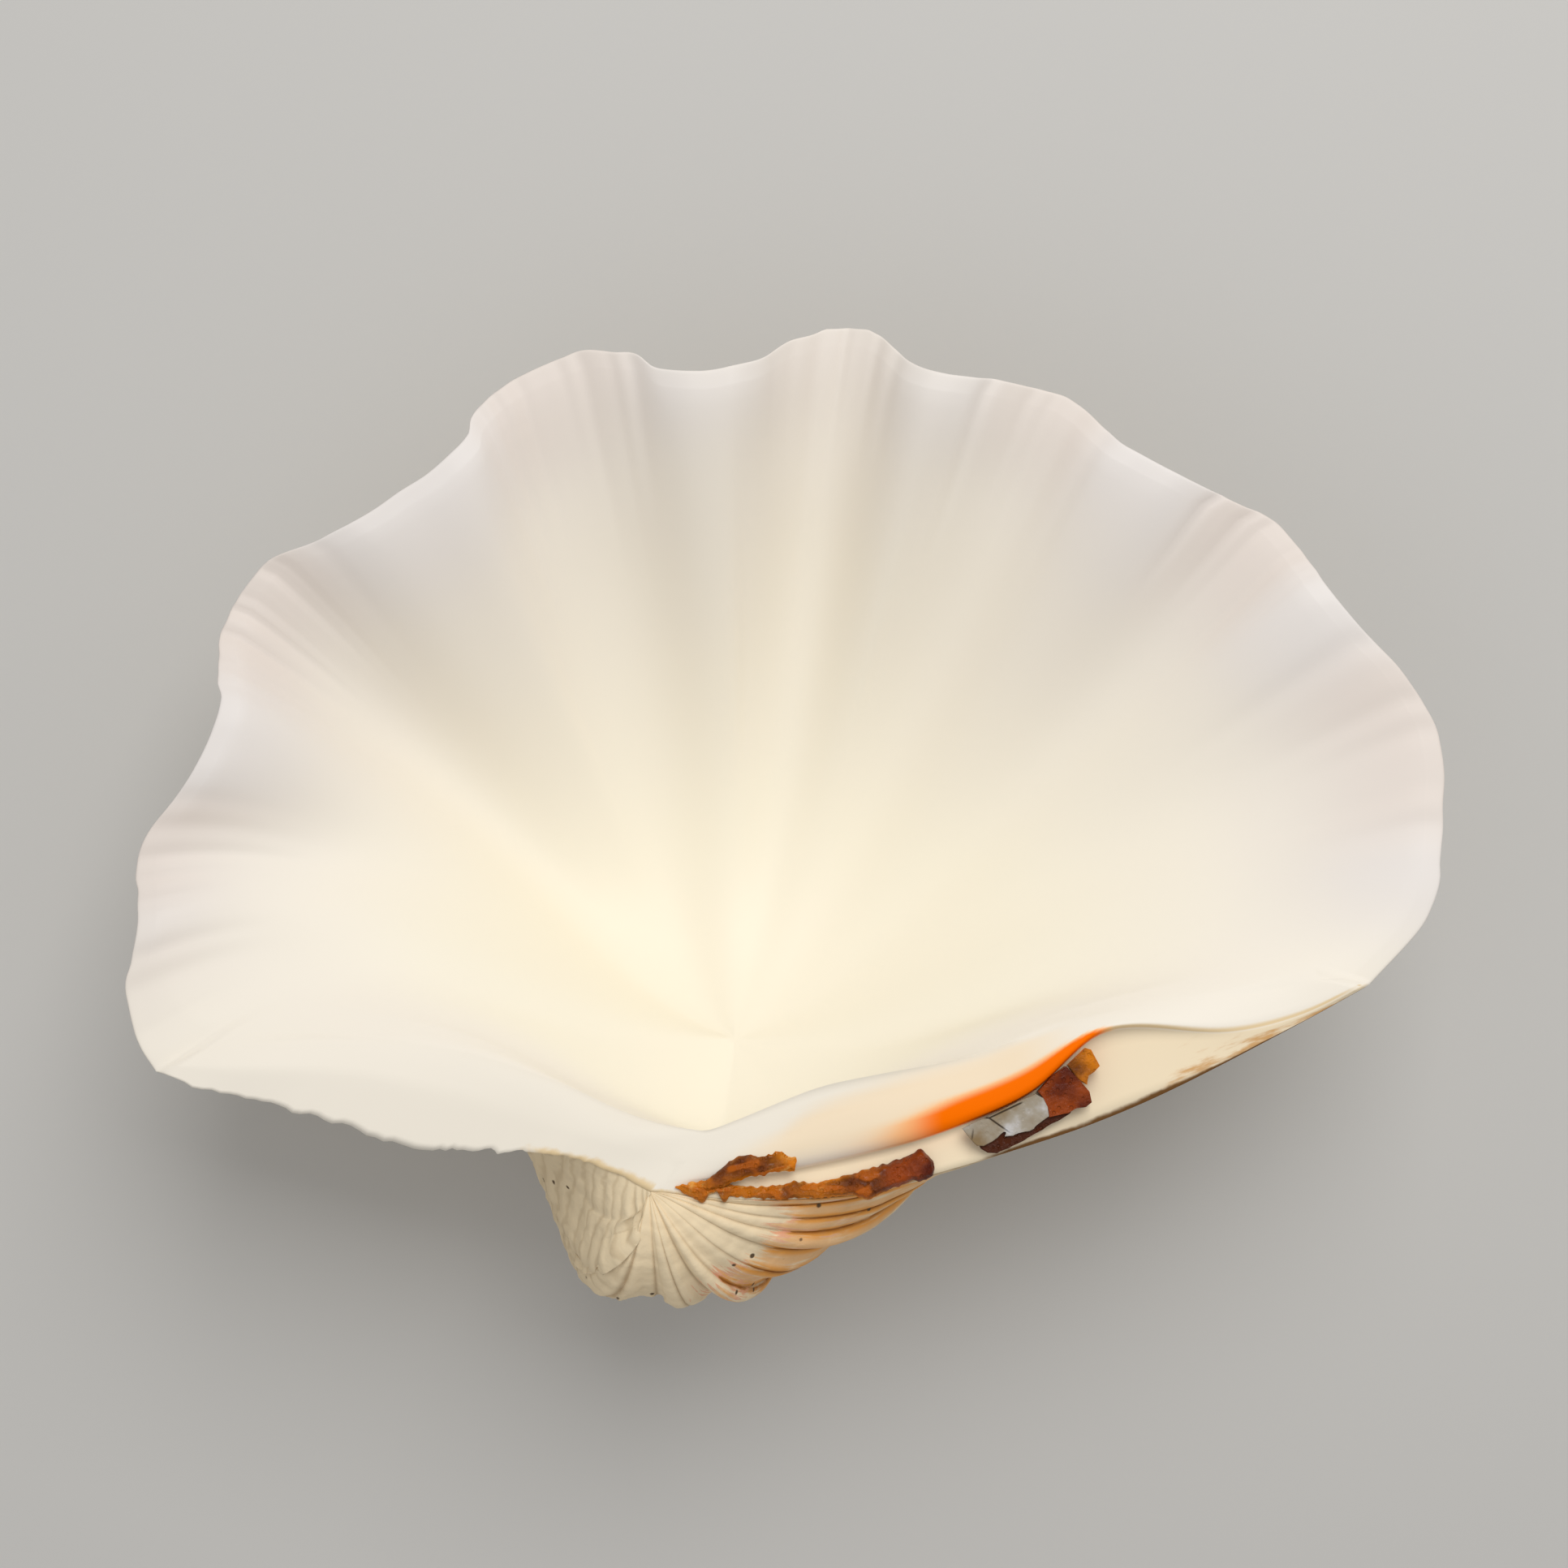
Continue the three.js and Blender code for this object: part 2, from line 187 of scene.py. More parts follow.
# %% [markdown]
# ## Riblets
#
# Each fold carries a few fine corrugations, which show as soft streaks by the edge. On the real
# shell no two are alike, so their places, widths and lengths are drawn by chance, from a fixed
# seed so that every run gives the same shell.

# %% Scatter the riblets
RIBLET_SEED = 7
RIBLET_WIDTH, RIBLET_HEIGHT, RIBLET_LENGTH = (0.25, 0.5), (0.3, 1.0), (0.12, 0.32)
RIBLET_SPREAD, RIBLET_SHIFT = 0.7, 0.6


def scatter_riblets(chance):
    """Angle, width, height and length of each riblet, unevenly spread over its fold."""
    made = []
    for centre, half, _, count in FOLDS:
        for k in range(count):
            place = (2 * k + 1 + chance.uniform(-RIBLET_SHIFT, RIBLET_SHIFT)) / count - 1
            width = half / count * chance.uniform(*RIBLET_WIDTH)
            height, length = chance.uniform(*RIBLET_HEIGHT), chance.uniform(*RIBLET_LENGTH)
            made.append((centre + RIBLET_SPREAD * half * place, width, height, length))
    return made


def riblet_at(angle, share):
    """Height of the riblets at an angle and a share of the way out to the margin."""
    total = np.zeros(np.broadcast(angle, share).shape)
    for centre, width, height, length in RIBLETS:
        total += height * np.exp(-(((angle - centre) / width) ** 2)) * ease(1 - length, 1, share)
    return total


RIBLETS = scatter_riblets(np.random.default_rng(RIBLET_SEED))
print("riblets:", len(RIBLETS))

# %% [markdown]
# ## The outside, grown from the beak
#
# A clam adds shell only at its margin, and the margin turns as it grows. So the outside could be
# sculpted, but it is truer to grow it: the same margin, shrunk and turned about the hinge line all
# the way back to the beak. The coiled beak and the ribs that meet there then come by themselves.

# %% Growth spiral
TURN, TURN_SLOWING = 3.4, 0.7
FRONT_CALM, CALMING, FRONT_LAG, FRONT_FROM = 0.58, (0.08, 0.42), 0.46, 150
BACK_CALM, BACK_TO, BACK_LEAD, LEAD_SPAN = 0.15, 4, 0.09, (20, 80)
MARGIN_STEPS, GROWTH_ROWS, GROWTH_CROWDING = 480, 96, 1.25


def spread(angle, growth):
    """How far along the hinge a share of the growth has come at this angle."""
    lag = FRONT_LAG * ease(FRONT_FROM, FRONT_END, angle)
    lead = BACK_LEAD * (1 - ease(*LEAD_SPAN, angle))
    return growth ** (1 + lag - lead)


def outside_point(angle, growth, riblets=0.0):
    """The outside at a margin angle and a share of the growth, 0 at the beak and 1 at the margin."""
    front = ease(FRONT_FROM, FRONT_END, angle)
    back = 1 - ease(BACK_END, BACK_TO, angle)
    calm = 1 - FRONT_CALM * front * ease(*CALMING, growth) - BACK_CALM * back
    turn = TURN * (1 - growth) * (1 - TURN_SLOWING * growth) * calm
    p = margin_point(angle, riblets=riblets)
    y = growth * (p[..., 1] * np.cos(turn) + p[..., 2] * np.sin(turn))
    z = growth * (p[..., 2] * np.cos(turn) - p[..., 1] * np.sin(turn))
    return np.stack([p[..., 0] * spread(angle, growth), y, z], -1)


angles = np.linspace(BACK_END, FRONT_END, MARGIN_STEPS)
growths = (np.arange(1, GROWTH_ROWS + 1) / GROWTH_ROWS) ** GROWTH_CROWDING
angle_grid, growth_grid = np.meshgrid(angles, growths)
outside = outside_point(angle_grid, growth_grid, riblet_at(angle_grid, growth_grid))
print("outside skin:", outside.shape[0], "rows of", outside.shape[1])

# %% [markdown]
# ## Ribs and growth steps on the outside
#
# Close to the beak the outside has rounded ribs with narrow grooves between them, and each pause in
# growth left a low step. The front end has no ribs, only wavy growth lines. All of this is pushed
# out along the skin's own normals. The normal of a grid of points is the cross product of its two
# directions.

# %% Raise the outside's relief
# margin angles of the grooves; the last one borders the plain front end
GROOVES = [-28, -12, 0, 9, 23, 41, 61, 82, 102, 126, 150]
RIB_HEIGHT, RIB_FADE = 2.0, (0.3, 0.6)
STEP_HEIGHT, STEP_COUNT = 0.18, 46
LUMP_HEIGHT, LUMP_SIZE = 0.45, 9.0
CRUST_HEIGHT, CRUST_SIZE = 1.1, 2.4
FRONT_LINES, FRONT_LINE_COUNT = 0.4, 30
CRUST_ANGLES, CRUST_GROWTHS = ((100, 130), (155, 175)), ((0.1, 0.17), (0.4, 0.6))
FRONT_FULLNESS, MARGIN_FULLNESS = 6.0, 2.0
FRONT_FULL_SPAN, MARGIN_FULL_SPAN = ((0.04, 0.16), (0.2, 0.45)), (0.5, 0.85)
RIB_LEVEL, STEP_WAVER, LINE_WAVERS = 0.7, 0.7, (5, 1.2)
GROOVE_SIDE, FRONT_SIDE = 6, 12  # degrees over which the plain front end begins
SAW_FALL, SAW_LEVEL = (0.8, 1.0), 0.4
CALM_AT_MARGIN = (0.96, 1.0)
BEAK_PLACE, BEAK_SPAN = np.array((0, 1.6, 1.2)), (0.0, 0.1)  # the tip is drawn up to the hinge


def rib_at(angle):
    """Rounded ribs, 0 in a groove and 1 on a crest, and 1 all over the front end."""
    knots = np.array(GROOVES, float)
    i = np.clip(np.searchsorted(knots, angle, side="right") - 1, 0, len(knots) - 2)
    t = np.clip((angle - knots[i]) / (knots[i + 1] - knots[i]), 0, 1)
    crest = np.sqrt(np.sin(math.pi * t).clip(0, 1))
    return np.where(angle > knots[-1], ease(knots[-1], knots[-1] + GROOVE_SIDE, angle), crest)


def grid_normals(grid):
    """Unit normals of a grid of points, on the side away from the hollow."""
    normal = np.cross(np.gradient(grid, axis=1), np.gradient(grid, axis=0))
    return normal / np.maximum(np.linalg.norm(normal, axis=-1, keepdims=True), 1e-9)


def lumps(points, size):
    """Soft noise over points, from -1 to 1."""
    flat = points.reshape(-1, 3) / size
    return np.array([noise.noise(Vector(p)) for p in flat]).reshape(points.shape[:-1])


def saw(x):
    """A slow rise and a quick fall, once per whole number."""
    t = x - np.floor(x)
    return t * (1 - ease(*SAW_FALL, t)) - SAW_LEVEL


outside_lumps, crust = lumps(outside, LUMP_SIZE), lumps(outside, CRUST_SIZE)
_, _, lobe_grid = fold_at(angle_grid)
rib_grid = rib_at(angle_grid)
front_grid = ease(GROOVES[-1], GROOVES[-1] + FRONT_SIDE, angle_grid)
near_beak = 1 - ease(*RIB_FADE, growth_grid)
steps = saw(growth_grid * STEP_COUNT + STEP_WAVER * outside_lumps) * np.sqrt(growth_grid)
wander = LINE_WAVERS[0] * outside_lumps + LINE_WAVERS[1] * crust
waves = np.sin(growth_grid * FRONT_LINE_COUNT * 2 * math.pi + wander) * front_grid
crusted = between(CRUST_ANGLES, angle_grid) * between(CRUST_GROWTHS, growth_grid)
relief = RIB_HEIGHT * (rib_grid - RIB_LEVEL) * np.sqrt(growth_grid) * near_beak
relief += STEP_HEIGHT * steps + LUMP_HEIGHT * outside_lumps * np.sqrt(growth_grid)
relief += FRONT_LINES * waves * near_beak + CRUST_HEIGHT * crust * crusted
relief += FRONT_FULLNESS * front_grid * between(FRONT_FULL_SPAN, growth_grid)
relief += MARGIN_FULLNESS * ease(*MARGIN_FULL_SPAN, growth_grid)
relief *= 1 - ease(*CALM_AT_MARGIN, growth_grid)
outside += grid_normals(outside) * relief[..., None]
outside += BEAK_PLACE * (1 - ease(*BEAK_SPAN, growth_grid))[..., None]
print("relief on the outside, mm:", round(relief.min(), 2), "to", round(relief.max(), 2))

# %% [markdown]
# ## The lip
#
# The margin is thin but not a knife edge: it rounds over within a millimetre, and the hollow
# begins almost at once. Rows across this lip and rows across the hinge plate have the same count,
# so that one ring of points can run round the whole opening.

# %% Lip
EDGE_ROWS = 16
# share of the way across, inset from the margin, height above it
LIP = [(0, 0.06, 0.25), (0.15, 0.25, 0.5), (0.35, 0.8, 0.62), (0.65, 2.5, 0.42), (1, 5.0, 0.0)]
LIP_WIDTH, LIP_SIDE_RISE, LIP_SPAN = 5.0, 0.9, 205


def lip_point(angle, across, fold_share=1.0, riblets=0.0):
    """The lip at a share of the way across it."""
    inset, rise = through(LIP, 1, across), through(LIP, 2, across)
    p = margin_point(angle, fold_share, riblets, inset, rise)
    p[..., 2] += LIP_SIDE_RISE * inset / LIP_WIDTH * (1 - p[..., 1] / LIP_SPAN)
    return p


print("rows across the lip:", EDGE_ROWS)

# %% [markdown]
# ## The hollow
#
# The inside is a fan of lines from the margin down to the cavity under the hinge. The depth of
# each line is chosen for its direction. The folds fade out towards the cavity, and the riblets
# fade within a few centimetres of the edge, as new shell is laid over old.

# %% Hollow
CAVITY = np.array((19, 9, -30), float)
# angle, depth
DEPTH = [
    (-28, 7), (-12, 16), (5, 34), (20, 45), (40, 54), (65, 58), (90, 58),
    (115, 60), (140, 55), (160, 43), (178, 12), (190, 2), (196, 2),
]
STEEP_NEAR, STEEP_FAR = 0.69, 1.38
FRONT_BOW, FRONT_BOW_FROM, BACK_BOW, BACK_BOW_TO = 27, 108, 13, 30
FOLD_FADE = (0.24, 0.8)
HOLLOW_ROWS = 46
hollow_shares = np.linspace(1, 0, HOLLOW_ROWS + 2)[1:-1]


def hollow_at(share):
    """Shape of the hollow along a line, 0 at both ends and 1 where it is deepest."""
    peak = STEEP_NEAR / (STEEP_NEAR + STEEP_FAR)
    top = peak**STEEP_NEAR * (1 - peak) ** STEEP_FAR
    return share**STEEP_NEAR * (1 - share) ** STEEP_FAR / top


def hollow_point(edge, share, depth, bow):
    """A share of the way from the cavity to an edge, sunk and bent round the hinge."""
    p = CAVITY + (edge - CAVITY) * share
    p[..., 1] += bow * 4 * share * (1 - share)
    p[..., 2] -= depth * hollow_at(share)
    return p


def margin_lines(angle):
    """All points from the margin inwards, one row at a time."""
    across = np.linspace(0, 1, EDGE_ROWS)
    at_edge = riblet_at(angle, 1.0)
    rows = [lip_point(angle, np.full_like(angle, a), riblets=at_edge) for a in across]
    depth = through(DEPTH, 1, angle)
    bow = FRONT_BOW * ease(FRONT_BOW_FROM, FRONT_END, angle)
    bow = bow + BACK_BOW * (1 - ease(BACK_END, BACK_BOW_TO, angle))
    for share in hollow_shares:
        edge = lip_point(angle, np.ones_like(angle), ease(*FOLD_FADE, share))
        rows.append(hollow_point(edge, share, depth, bow))
    return np.stack(rows)


margin_side = margin_lines(angles)
print("hollow rows:", HOLLOW_ROWS)

# %% [markdown]
# ## The hinge plate
#
# Two different halves meet at the beak. In front is a rolled flange with a ragged outer edge. At
# the back is a long plate with a tooth along its inner edge, and a step down to the ledge that
# held the ligament. Each half is laid between an outer and an inner curve.

# %% Hinge curves
# share of the way from the beak to the end of the hinge, x, y, z
FRONT_OUTER = [
    (0, 0, 1.6, 1.5), (0.1, -11, 9.8, 1), (0.2, -22, 14.6, 1), (0.3, -34, 17, 0), (0.5, -56, 22, -1),
    (0.65, -75, 32, -1), (0.9, -103, 44, 0), (1, -114.1, 50.8, 0.2),
]
FRONT_INNER = [
    (0, 16, 13, -1), (0.1, 5, 17, -1), (0.2, -6, 23, -1.5), (0.35, -24, 36, -2), (0.5, -40, 46, -2),
    (0.7, -66, 52, -1.5), (0.9, -97, 53.5, 0), (1, -109.6, 52.1, 0.5),
]
BACK_OUTER = [
    (0, 0, 1.6, 1.5), (0.12, 22, -4.3, 0), (0.27, 48, -7.6, -1), (0.37, 67, -6.4, -1.5),
    (0.5, 89, -4, -2), (0.6, 109, -1, -2.5), (0.72, 130, 4, -2), (0.89, 162, 14, -0.5),
    (1, 180.4, 20.4, 1.6),
]
BACK_STEP = [
    (0, 5, 3.4, 1.2), (0.15, 28, 1.4, 0.8), (0.33, 60, 2.5, 0.8), (0.43, 78, 5, 1), (0.52, 95, 9.5, 1),
    (0.62, 112, 19.8, 1), (0.68, 122, 20.6, 0.5), (0.8, 144, 15.6, 0.2), (0.9, 162, 16.4, 0.3),
    (1, 178.7, 21.2, 2.8),
]
BACK_INNER = [
    (0, 16, 13, -1), (0.15, 30, 16, -1.5), (0.25, 45, 19, -2), (0.33, 60, 19.5, -2),
    (0.46, 83, 20, -2), (0.6, 110, 25, -1.5), (0.74, 134, 26, -1), (0.9, 163, 24.5, 0.5),
    (1, 176, 22.7, 2.5),
]
STEP_DROP, STEP_LEAN = 3.2, 1.0
# share across, height
FRONT_SWELL = [(0, 0), (0.28, 0.8), (0.5, 1.3), (0.78, 1.1), (1, 0)]
BACK_CROWN = [(0, 0), (0.5, 0.8), (1, 0)]
SWELL_ENDS = ((0, 0.12), (0.8, 1))
STEP_ENDS = ((0.02, 0.15), (0.62, 0.86))
CROWN_ENDS = ((0, 0.1), (0.85, 1))
BEND_FROM = 0.35
FOOT_ROW, TOP_ROW = 5, 7
RAGGED, RAGGED_SIZES = 0.9, ((52, 0.55), (121, 0.3), (263, 0.15))
RAGGED_BEND, RAGGED_BEND_RATE = 3, 0.37
RAGGED_ENDS, RAGGED_ACROSS = ((0.0, 0.1), (0.9, 1.0)), (0, 0.45)
# share along the hinge, share of the plate's width where the tooth ends
TOOTH_EDGE = [(0, 0.3), (0.17, 0.43), (0.22, 0.6), (0.32, 0.74), (0.42, 0.84), (1, 0.9)]
TOOTH_HEIGHT, TOOTH_ENDS, TOOTH_FLANK = 1.9, ((0.06, 0.16), (0.3, 0.5)), 0.22
TOOTH_RISE, TOOTH_BRIM = (0.0, 0.2), 0.04


def ragged(share):
    """A rough edge along the hinge, as a sum of waves that never line up."""
    total = 0
    for count, size in RAGGED_SIZES:
        bend = RAGGED_BEND * np.sin(RAGGED_BEND_RATE * count * share)
        total = total + size * np.sin(count * share + bend)
    return total


def tooth_at(share, across):
    """1 on the tooth and 0 on the flank between it and the plate's inner edge."""
    edge = through(TOOTH_EDGE, 1, share)
    return ease(*TOOTH_RISE, across) * (1 - ease(edge - TOOTH_BRIM, edge + TOOTH_FLANK, across))


def front_plate(share):
    """Rows across the front flange, from its ragged outer edge inwards."""
    outer, inner = point_on(FRONT_OUTER, share), point_on(FRONT_INNER, share)
    outwards = outer - inner
    outwards /= np.linalg.norm(outwards, axis=-1, keepdims=True)
    swell = between(SWELL_ENDS, share)
    rough = RAGGED * ragged(share) * between(RAGGED_ENDS, share)
    rows = []
    for across in np.linspace(0, 1, EDGE_ROWS):
        p = mix(outer, inner, np.full_like(share, across))
        p[..., 2] += through(FRONT_SWELL, 1, across) * swell
        rows.append(p + outwards * (rough * (1 - ease(*RAGGED_ACROSS, across)))[..., None])
    return rows


def back_plate(share):
    """Rows across the ledge, up the step and over the plate to its inner edge."""
    outer, inner, top = (point_on(t, share) for t in (BACK_OUTER, BACK_INNER, BACK_STEP))
    outwards = outer - top
    outwards[..., 2] = 0
    outwards /= np.maximum(np.linalg.norm(outwards, axis=-1, keepdims=True), 1e-6)
    foot = top + STEP_LEAN * outwards
    foot[..., 2] -= STEP_DROP * between(STEP_ENDS, share)
    crown, tooth = between(CROWN_ENDS, share), TOOTH_HEIGHT * between(TOOTH_ENDS, share)
    rows = [mix(outer, foot, np.full_like(share, k / FOOT_ROW)) for k in range(FOOT_ROW)]
    riser = TOP_ROW - FOOT_ROW
    rows += [mix(foot, top, np.full_like(share, k / riser)) for k in range(riser)]
    for across in np.linspace(0, 1, EDGE_ROWS - TOP_ROW):
        p = mix(top, inner, np.full_like(share, across))
        p[..., 2] += through(BACK_CROWN, 1, across) * crown + tooth_at(share, across) * tooth
        rows.append(p)
    return rows


def hinge_lines(growth, is_front):
    """All points from the hinge's outer edge inwards, one row at a time."""
    share = spread(np.full_like(growth, FRONT_END if is_front else BACK_END), growth)
    rows = front_plate(share) if is_front else back_plate(share)
    inner = rows[-1]
    near = ease(BEND_FROM, 1, share)
    depth = DEPTH[-1][1] if is_front else DEPTH[0][1]
    bow = FRONT_BOW if is_front else BACK_BOW
    for row in hollow_shares:
        rows.append(hollow_point(inner, row, depth * near, bow * near))
    return np.stack(rows), share


front_side, front_shares = hinge_lines(growths[:-1], True)
beak_side, _ = hinge_lines(np.zeros(1), False)
back_side, back_shares = hinge_lines(growths[:-1], False)
print("hinge stations:", len(front_shares), "in front,", len(back_shares), "at the back")

# %% [markdown]
# ## One ring of lines
#
# The lines of the margin, the front half of the hinge, the beak and the back half join into one
# closed ring. New shell was laid over old in there, so the folds get softer with depth. Averaging
# each point with its neighbours along the ring does the same, with more passes for deeper rows. The
# bottom is averaged along the lines too, or they would meet in a star of creases.

# %% Join and smooth the inside
RING_PASSES, BOTTOM_PASSES, BOTTOM_ROWS = 400, 300, 34
PLATE_PASSES, PLATE_REACH = 90, 16.0
CORNER_PASSES, CORNER_REACH = 160, 14.0
FRONT_ROUND, BACK_ROUND, EDGE_ROUND_ROWS, EDGE_ROUND_PASSES = (0.25, 0.6), (0.5, 0.7), 7, 60
inside = np.concatenate([margin_side, front_side[:, ::-1], beak_side, back_side], axis=1)
ring_share = np.concatenate([np.zeros(MARGIN_STEPS), -front_shares[::-1], [0.0], back_shares])
is_hinge = np.concatenate([np.zeros(MARGIN_STEPS), np.ones(len(front_shares) + 1 + len(back_shares))])


def towards_neighbours(rows, weight):
    """Moves points halfway to the middle of their neighbours along the ring."""
    along = (np.roll(rows, 1, axis=1) + np.roll(rows, -1, axis=1)) / 2
    return rows + (along - rows) * 0.5 * weight


def smooth_hollow(grid):
    """Averages the hollow along the ring, with more passes for the deeper rows."""
    for k in range(RING_PASSES):
        start = EDGE_ROWS + HOLLOW_ROWS * k // RING_PASSES
        grid[start:] = towards_neighbours(grid[start:], 1.0)


def smooth_bottom(grid):
    """Averages the deepest rows along the lines, with their middle as the last point."""
    weight = ease(0, 1, np.linspace(0, 1, BOTTOM_ROWS - 1))[:, None, None]
    for _ in range(BOTTOM_PASSES):
        middle = grid[-1:].mean(axis=1, keepdims=True) + 0 * grid[-1:]
        part = np.concatenate([grid[-BOTTOM_ROWS:], middle])
        grid[1 - BOTTOM_ROWS:] += ((part[:-2] + part[2:]) / 2 - part[1:-1]) * 0.5 * weight
    return grid[-1].mean(axis=0)


def smooth_plate(grid):
    """Averages the plate along the ring where its two halves meet at the beak."""
    gap = np.arange(grid.shape[1]) - (MARGIN_STEPS + len(front_shares))
    weight = np.exp(-((gap / PLATE_REACH) ** 2))[None, :, None]
    for _ in range(PLATE_PASSES):
        grid[TOP_ROW + 1:EDGE_ROWS] = towards_neighbours(grid[TOP_ROW + 1:EDGE_ROWS], weight)


def smooth_corners(grid):
    """Averages the hollow along the ring where the hinge meets the two ends of the margin."""
    number = np.arange(grid.shape[1])
    gaps = (number - MARGIN_STEPS + 0.5, number + 0.5, number - grid.shape[1] + 0.5)
    weight = sum(np.exp(-((gap / CORNER_REACH) ** 2)) for gap in gaps).clip(0, 1)[None, :, None]
    for _ in range(CORNER_PASSES):
        grid[EDGE_ROWS:] = towards_neighbours(grid[EDGE_ROWS:], weight)


def smooth_inner_edge(grid):
    """Rounds the hinge's inner edge along the lines, away from the beak where it stays crisp."""
    rounded = np.maximum(ease(*FRONT_ROUND, -ring_share), ease(*BACK_ROUND, ring_share)) * is_hinge
    rows = slice(EDGE_ROWS - EDGE_ROUND_ROWS, EDGE_ROWS + EDGE_ROUND_ROWS)
    for _ in range(EDGE_ROUND_PASSES):
        middle = (np.roll(grid, 1, axis=0) + np.roll(grid, -1, axis=0)) / 2
        grid[rows] += ((middle - grid)[rows]) * 0.5 * rounded[None, :, None]


smooth_plate(inside)
smooth_inner_edge(inside)
smooth_corners(inside)
smooth_hollow(inside)
cavity_place = smooth_bottom(inside)
print("inside ring:", inside.shape[1], "lines of", inside.shape[0], "points")

# %% [markdown]
# ## Fine relief in the hollow
#
# Some relief stays crisp on the real shell: the riblets by the edge, and a crease along one side
# of three of the folds, which runs from near the margin halfway down into the bowl. They are added
# after the smoothing, straight down.

# %% Riblets and the creases
# angle, depth
CREASES = [(51.5, 1.1), (80, 1.5), (119, 1.3)]
CREASE_SLOW, CREASE_QUICK = 9.0, 2.2  # degrees over which each of its sides fades
CREASE_ENDS = ((0.45, 0.72), (0.88, 1.0))


def crease_at(angle):
    """Steps with one sharp side."""
    total = np.zeros_like(angle)
    for centre, depth in CREASES:
        gap = angle - centre
        total += depth * np.exp(-((gap / np.where(gap < 0, CREASE_SLOW, CREASE_QUICK)) ** 2))
    return total


for row, share in enumerate(hollow_shares, EDGE_ROWS):
    sunk = RIBLET_DIP * riblet_at(angles, share) + crease_at(angles) * between(CREASE_ENDS, share)
    inside[row, :MARGIN_STEPS, 2] -= sunk
print("creases:", len(CREASES))

# %% [markdown]
# ## Close the two skins
#
# The outside was grown by formula and the hinge was drawn by hand, so their edges lie up to some
# fifteen millimetres apart. The outside's first lines are drawn towards the hinge's outer edge until
# they meet, so that the ribs start right at the edge.

# %% Meet at the hinge
EDGE_BELOW = np.array((0, 0, -0.25))
BACK_BLEND, FRONT_BLEND = (BACK_END, 0.0), (FRONT_END, 176.0)
BACK_FADE, FRONT_FADE = (0.97, 1.0), (0.35, 0.7)  # shares of the growth over which it stops


def draw_to_edge(column, edge_points, blend, fade):
    """Moves the outside's lines so that its outermost one meets the hinge's edge."""
    missing = edge_points + EDGE_BELOW - outside[:-1, column]
    missing *= 1 - ease(*fade, growths[:-1, None])
    weight = 1 - ease(0, 1, np.abs(angles - blend[0]) / abs(blend[1] - blend[0]))
    outside[:-1] += missing[:, None, :] * weight[None, :, None]
    return np.abs(missing).max()


apart = [
    draw_to_edge(0, back_side[0], BACK_BLEND, BACK_FADE),
    draw_to_edge(-1, front_side[0], FRONT_BLEND, FRONT_FADE),
]
print("skins were apart by, mm:", [round(gap, 1) for gap in apart])

# %% [markdown]
# ## Lay it down and make the mesh
#
# The grown shell leans on its ribs, and the lowest ribs are worn flat where it rests. It is
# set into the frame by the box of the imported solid. Besides its place, each vertex keeps where it
# is on the shell, such as its share of the growth, for the material to paint by.

# %% Build the valve
HEADING, LEAN, FOOT_WEAR = math.radians(10), math.radians(7), 1.7
TO_GROUND = np.array([
    [math.cos(HEADING), -math.sin(HEADING) * math.cos(LEAN), -math.sin(HEADING) * math.sin(LEAN)],
    [math.sin(HEADING), math.cos(HEADING) * math.cos(LEAN), math.cos(HEADING) * math.sin(LEAN)],
    [0, -math.sin(LEAN), math.cos(LEAN)],
])
valve_low, valve_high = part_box("shell_valve")
plain_outside = outside_point(angle_grid, growth_grid)
plain = np.concatenate([plain_outside.reshape(-1, 3), inside.reshape(-1, 3)]) @ TO_GROUND.T
middle = (plain.min(0) + plain.max(0)) / 2
ground = plain[:, 2].min() + FOOT_WEAR
frame_middle = (np.array(valve_low) + np.array(valve_high)) / 2 / MM
SHIFT = np.array([frame_middle[0] - middle[0], frame_middle[1] - middle[1], -ground])


def lay_down(points):
    """From the grown shell's own axes to the frame, in metres."""
    placed = points.reshape(-1, 3) @ TO_GROUND.T + SHIFT
    placed[:, 2] = np.maximum(placed[:, 2], 0)
    return placed * MM


def quads_between(upper, lower, closed):
    """Faces between two rows of vertex numbers."""
    following = np.arange(len(upper)) + 1
    last = len(upper) if closed else len(upper) - 1
    following = following % len(upper)
    return [(upper[i], upper[following[i]], lower[following[i]], lower[i]) for i in range(last)]


beak = 0
outside_numbers = 1 + np.arange(outside[..., 0].size).reshape(outside.shape[:2])
inside_numbers = outside_numbers[-1, -1] + 1 + np.arange(inside[..., 0].size).reshape(inside.shape[:2])
cavity = inside_numbers[-1, -1] + 1
front_edge, back_edge = outside_numbers[-2::-1, -1], outside_numbers[:-1, 0]
edge = np.concatenate([outside_numbers[-1], front_edge, [beak], back_edge])

faces = [(beak, b, a) for a, b in zip(outside_numbers[0, :-1], outside_numbers[0, 1:])]
for row in range(GROWTH_ROWS - 1):
    faces += quads_between(outside_numbers[row], outside_numbers[row + 1], closed=False)
faces += quads_between(edge, inside_numbers[0], closed=True)
for row in range(inside.shape[0] - 1):
    faces += quads_between(inside_numbers[row], inside_numbers[row + 1], closed=True)
last_ring = inside_numbers[-1]
faces += [(a, b, cavity) for a, b in zip(last_ring, np.roll(last_ring, -1))]
skins = [outside.reshape(-1, 3), inside.reshape(-1, 3)]
all_points = np.concatenate([[BEAK_PLACE], *skins, [cavity_place]])

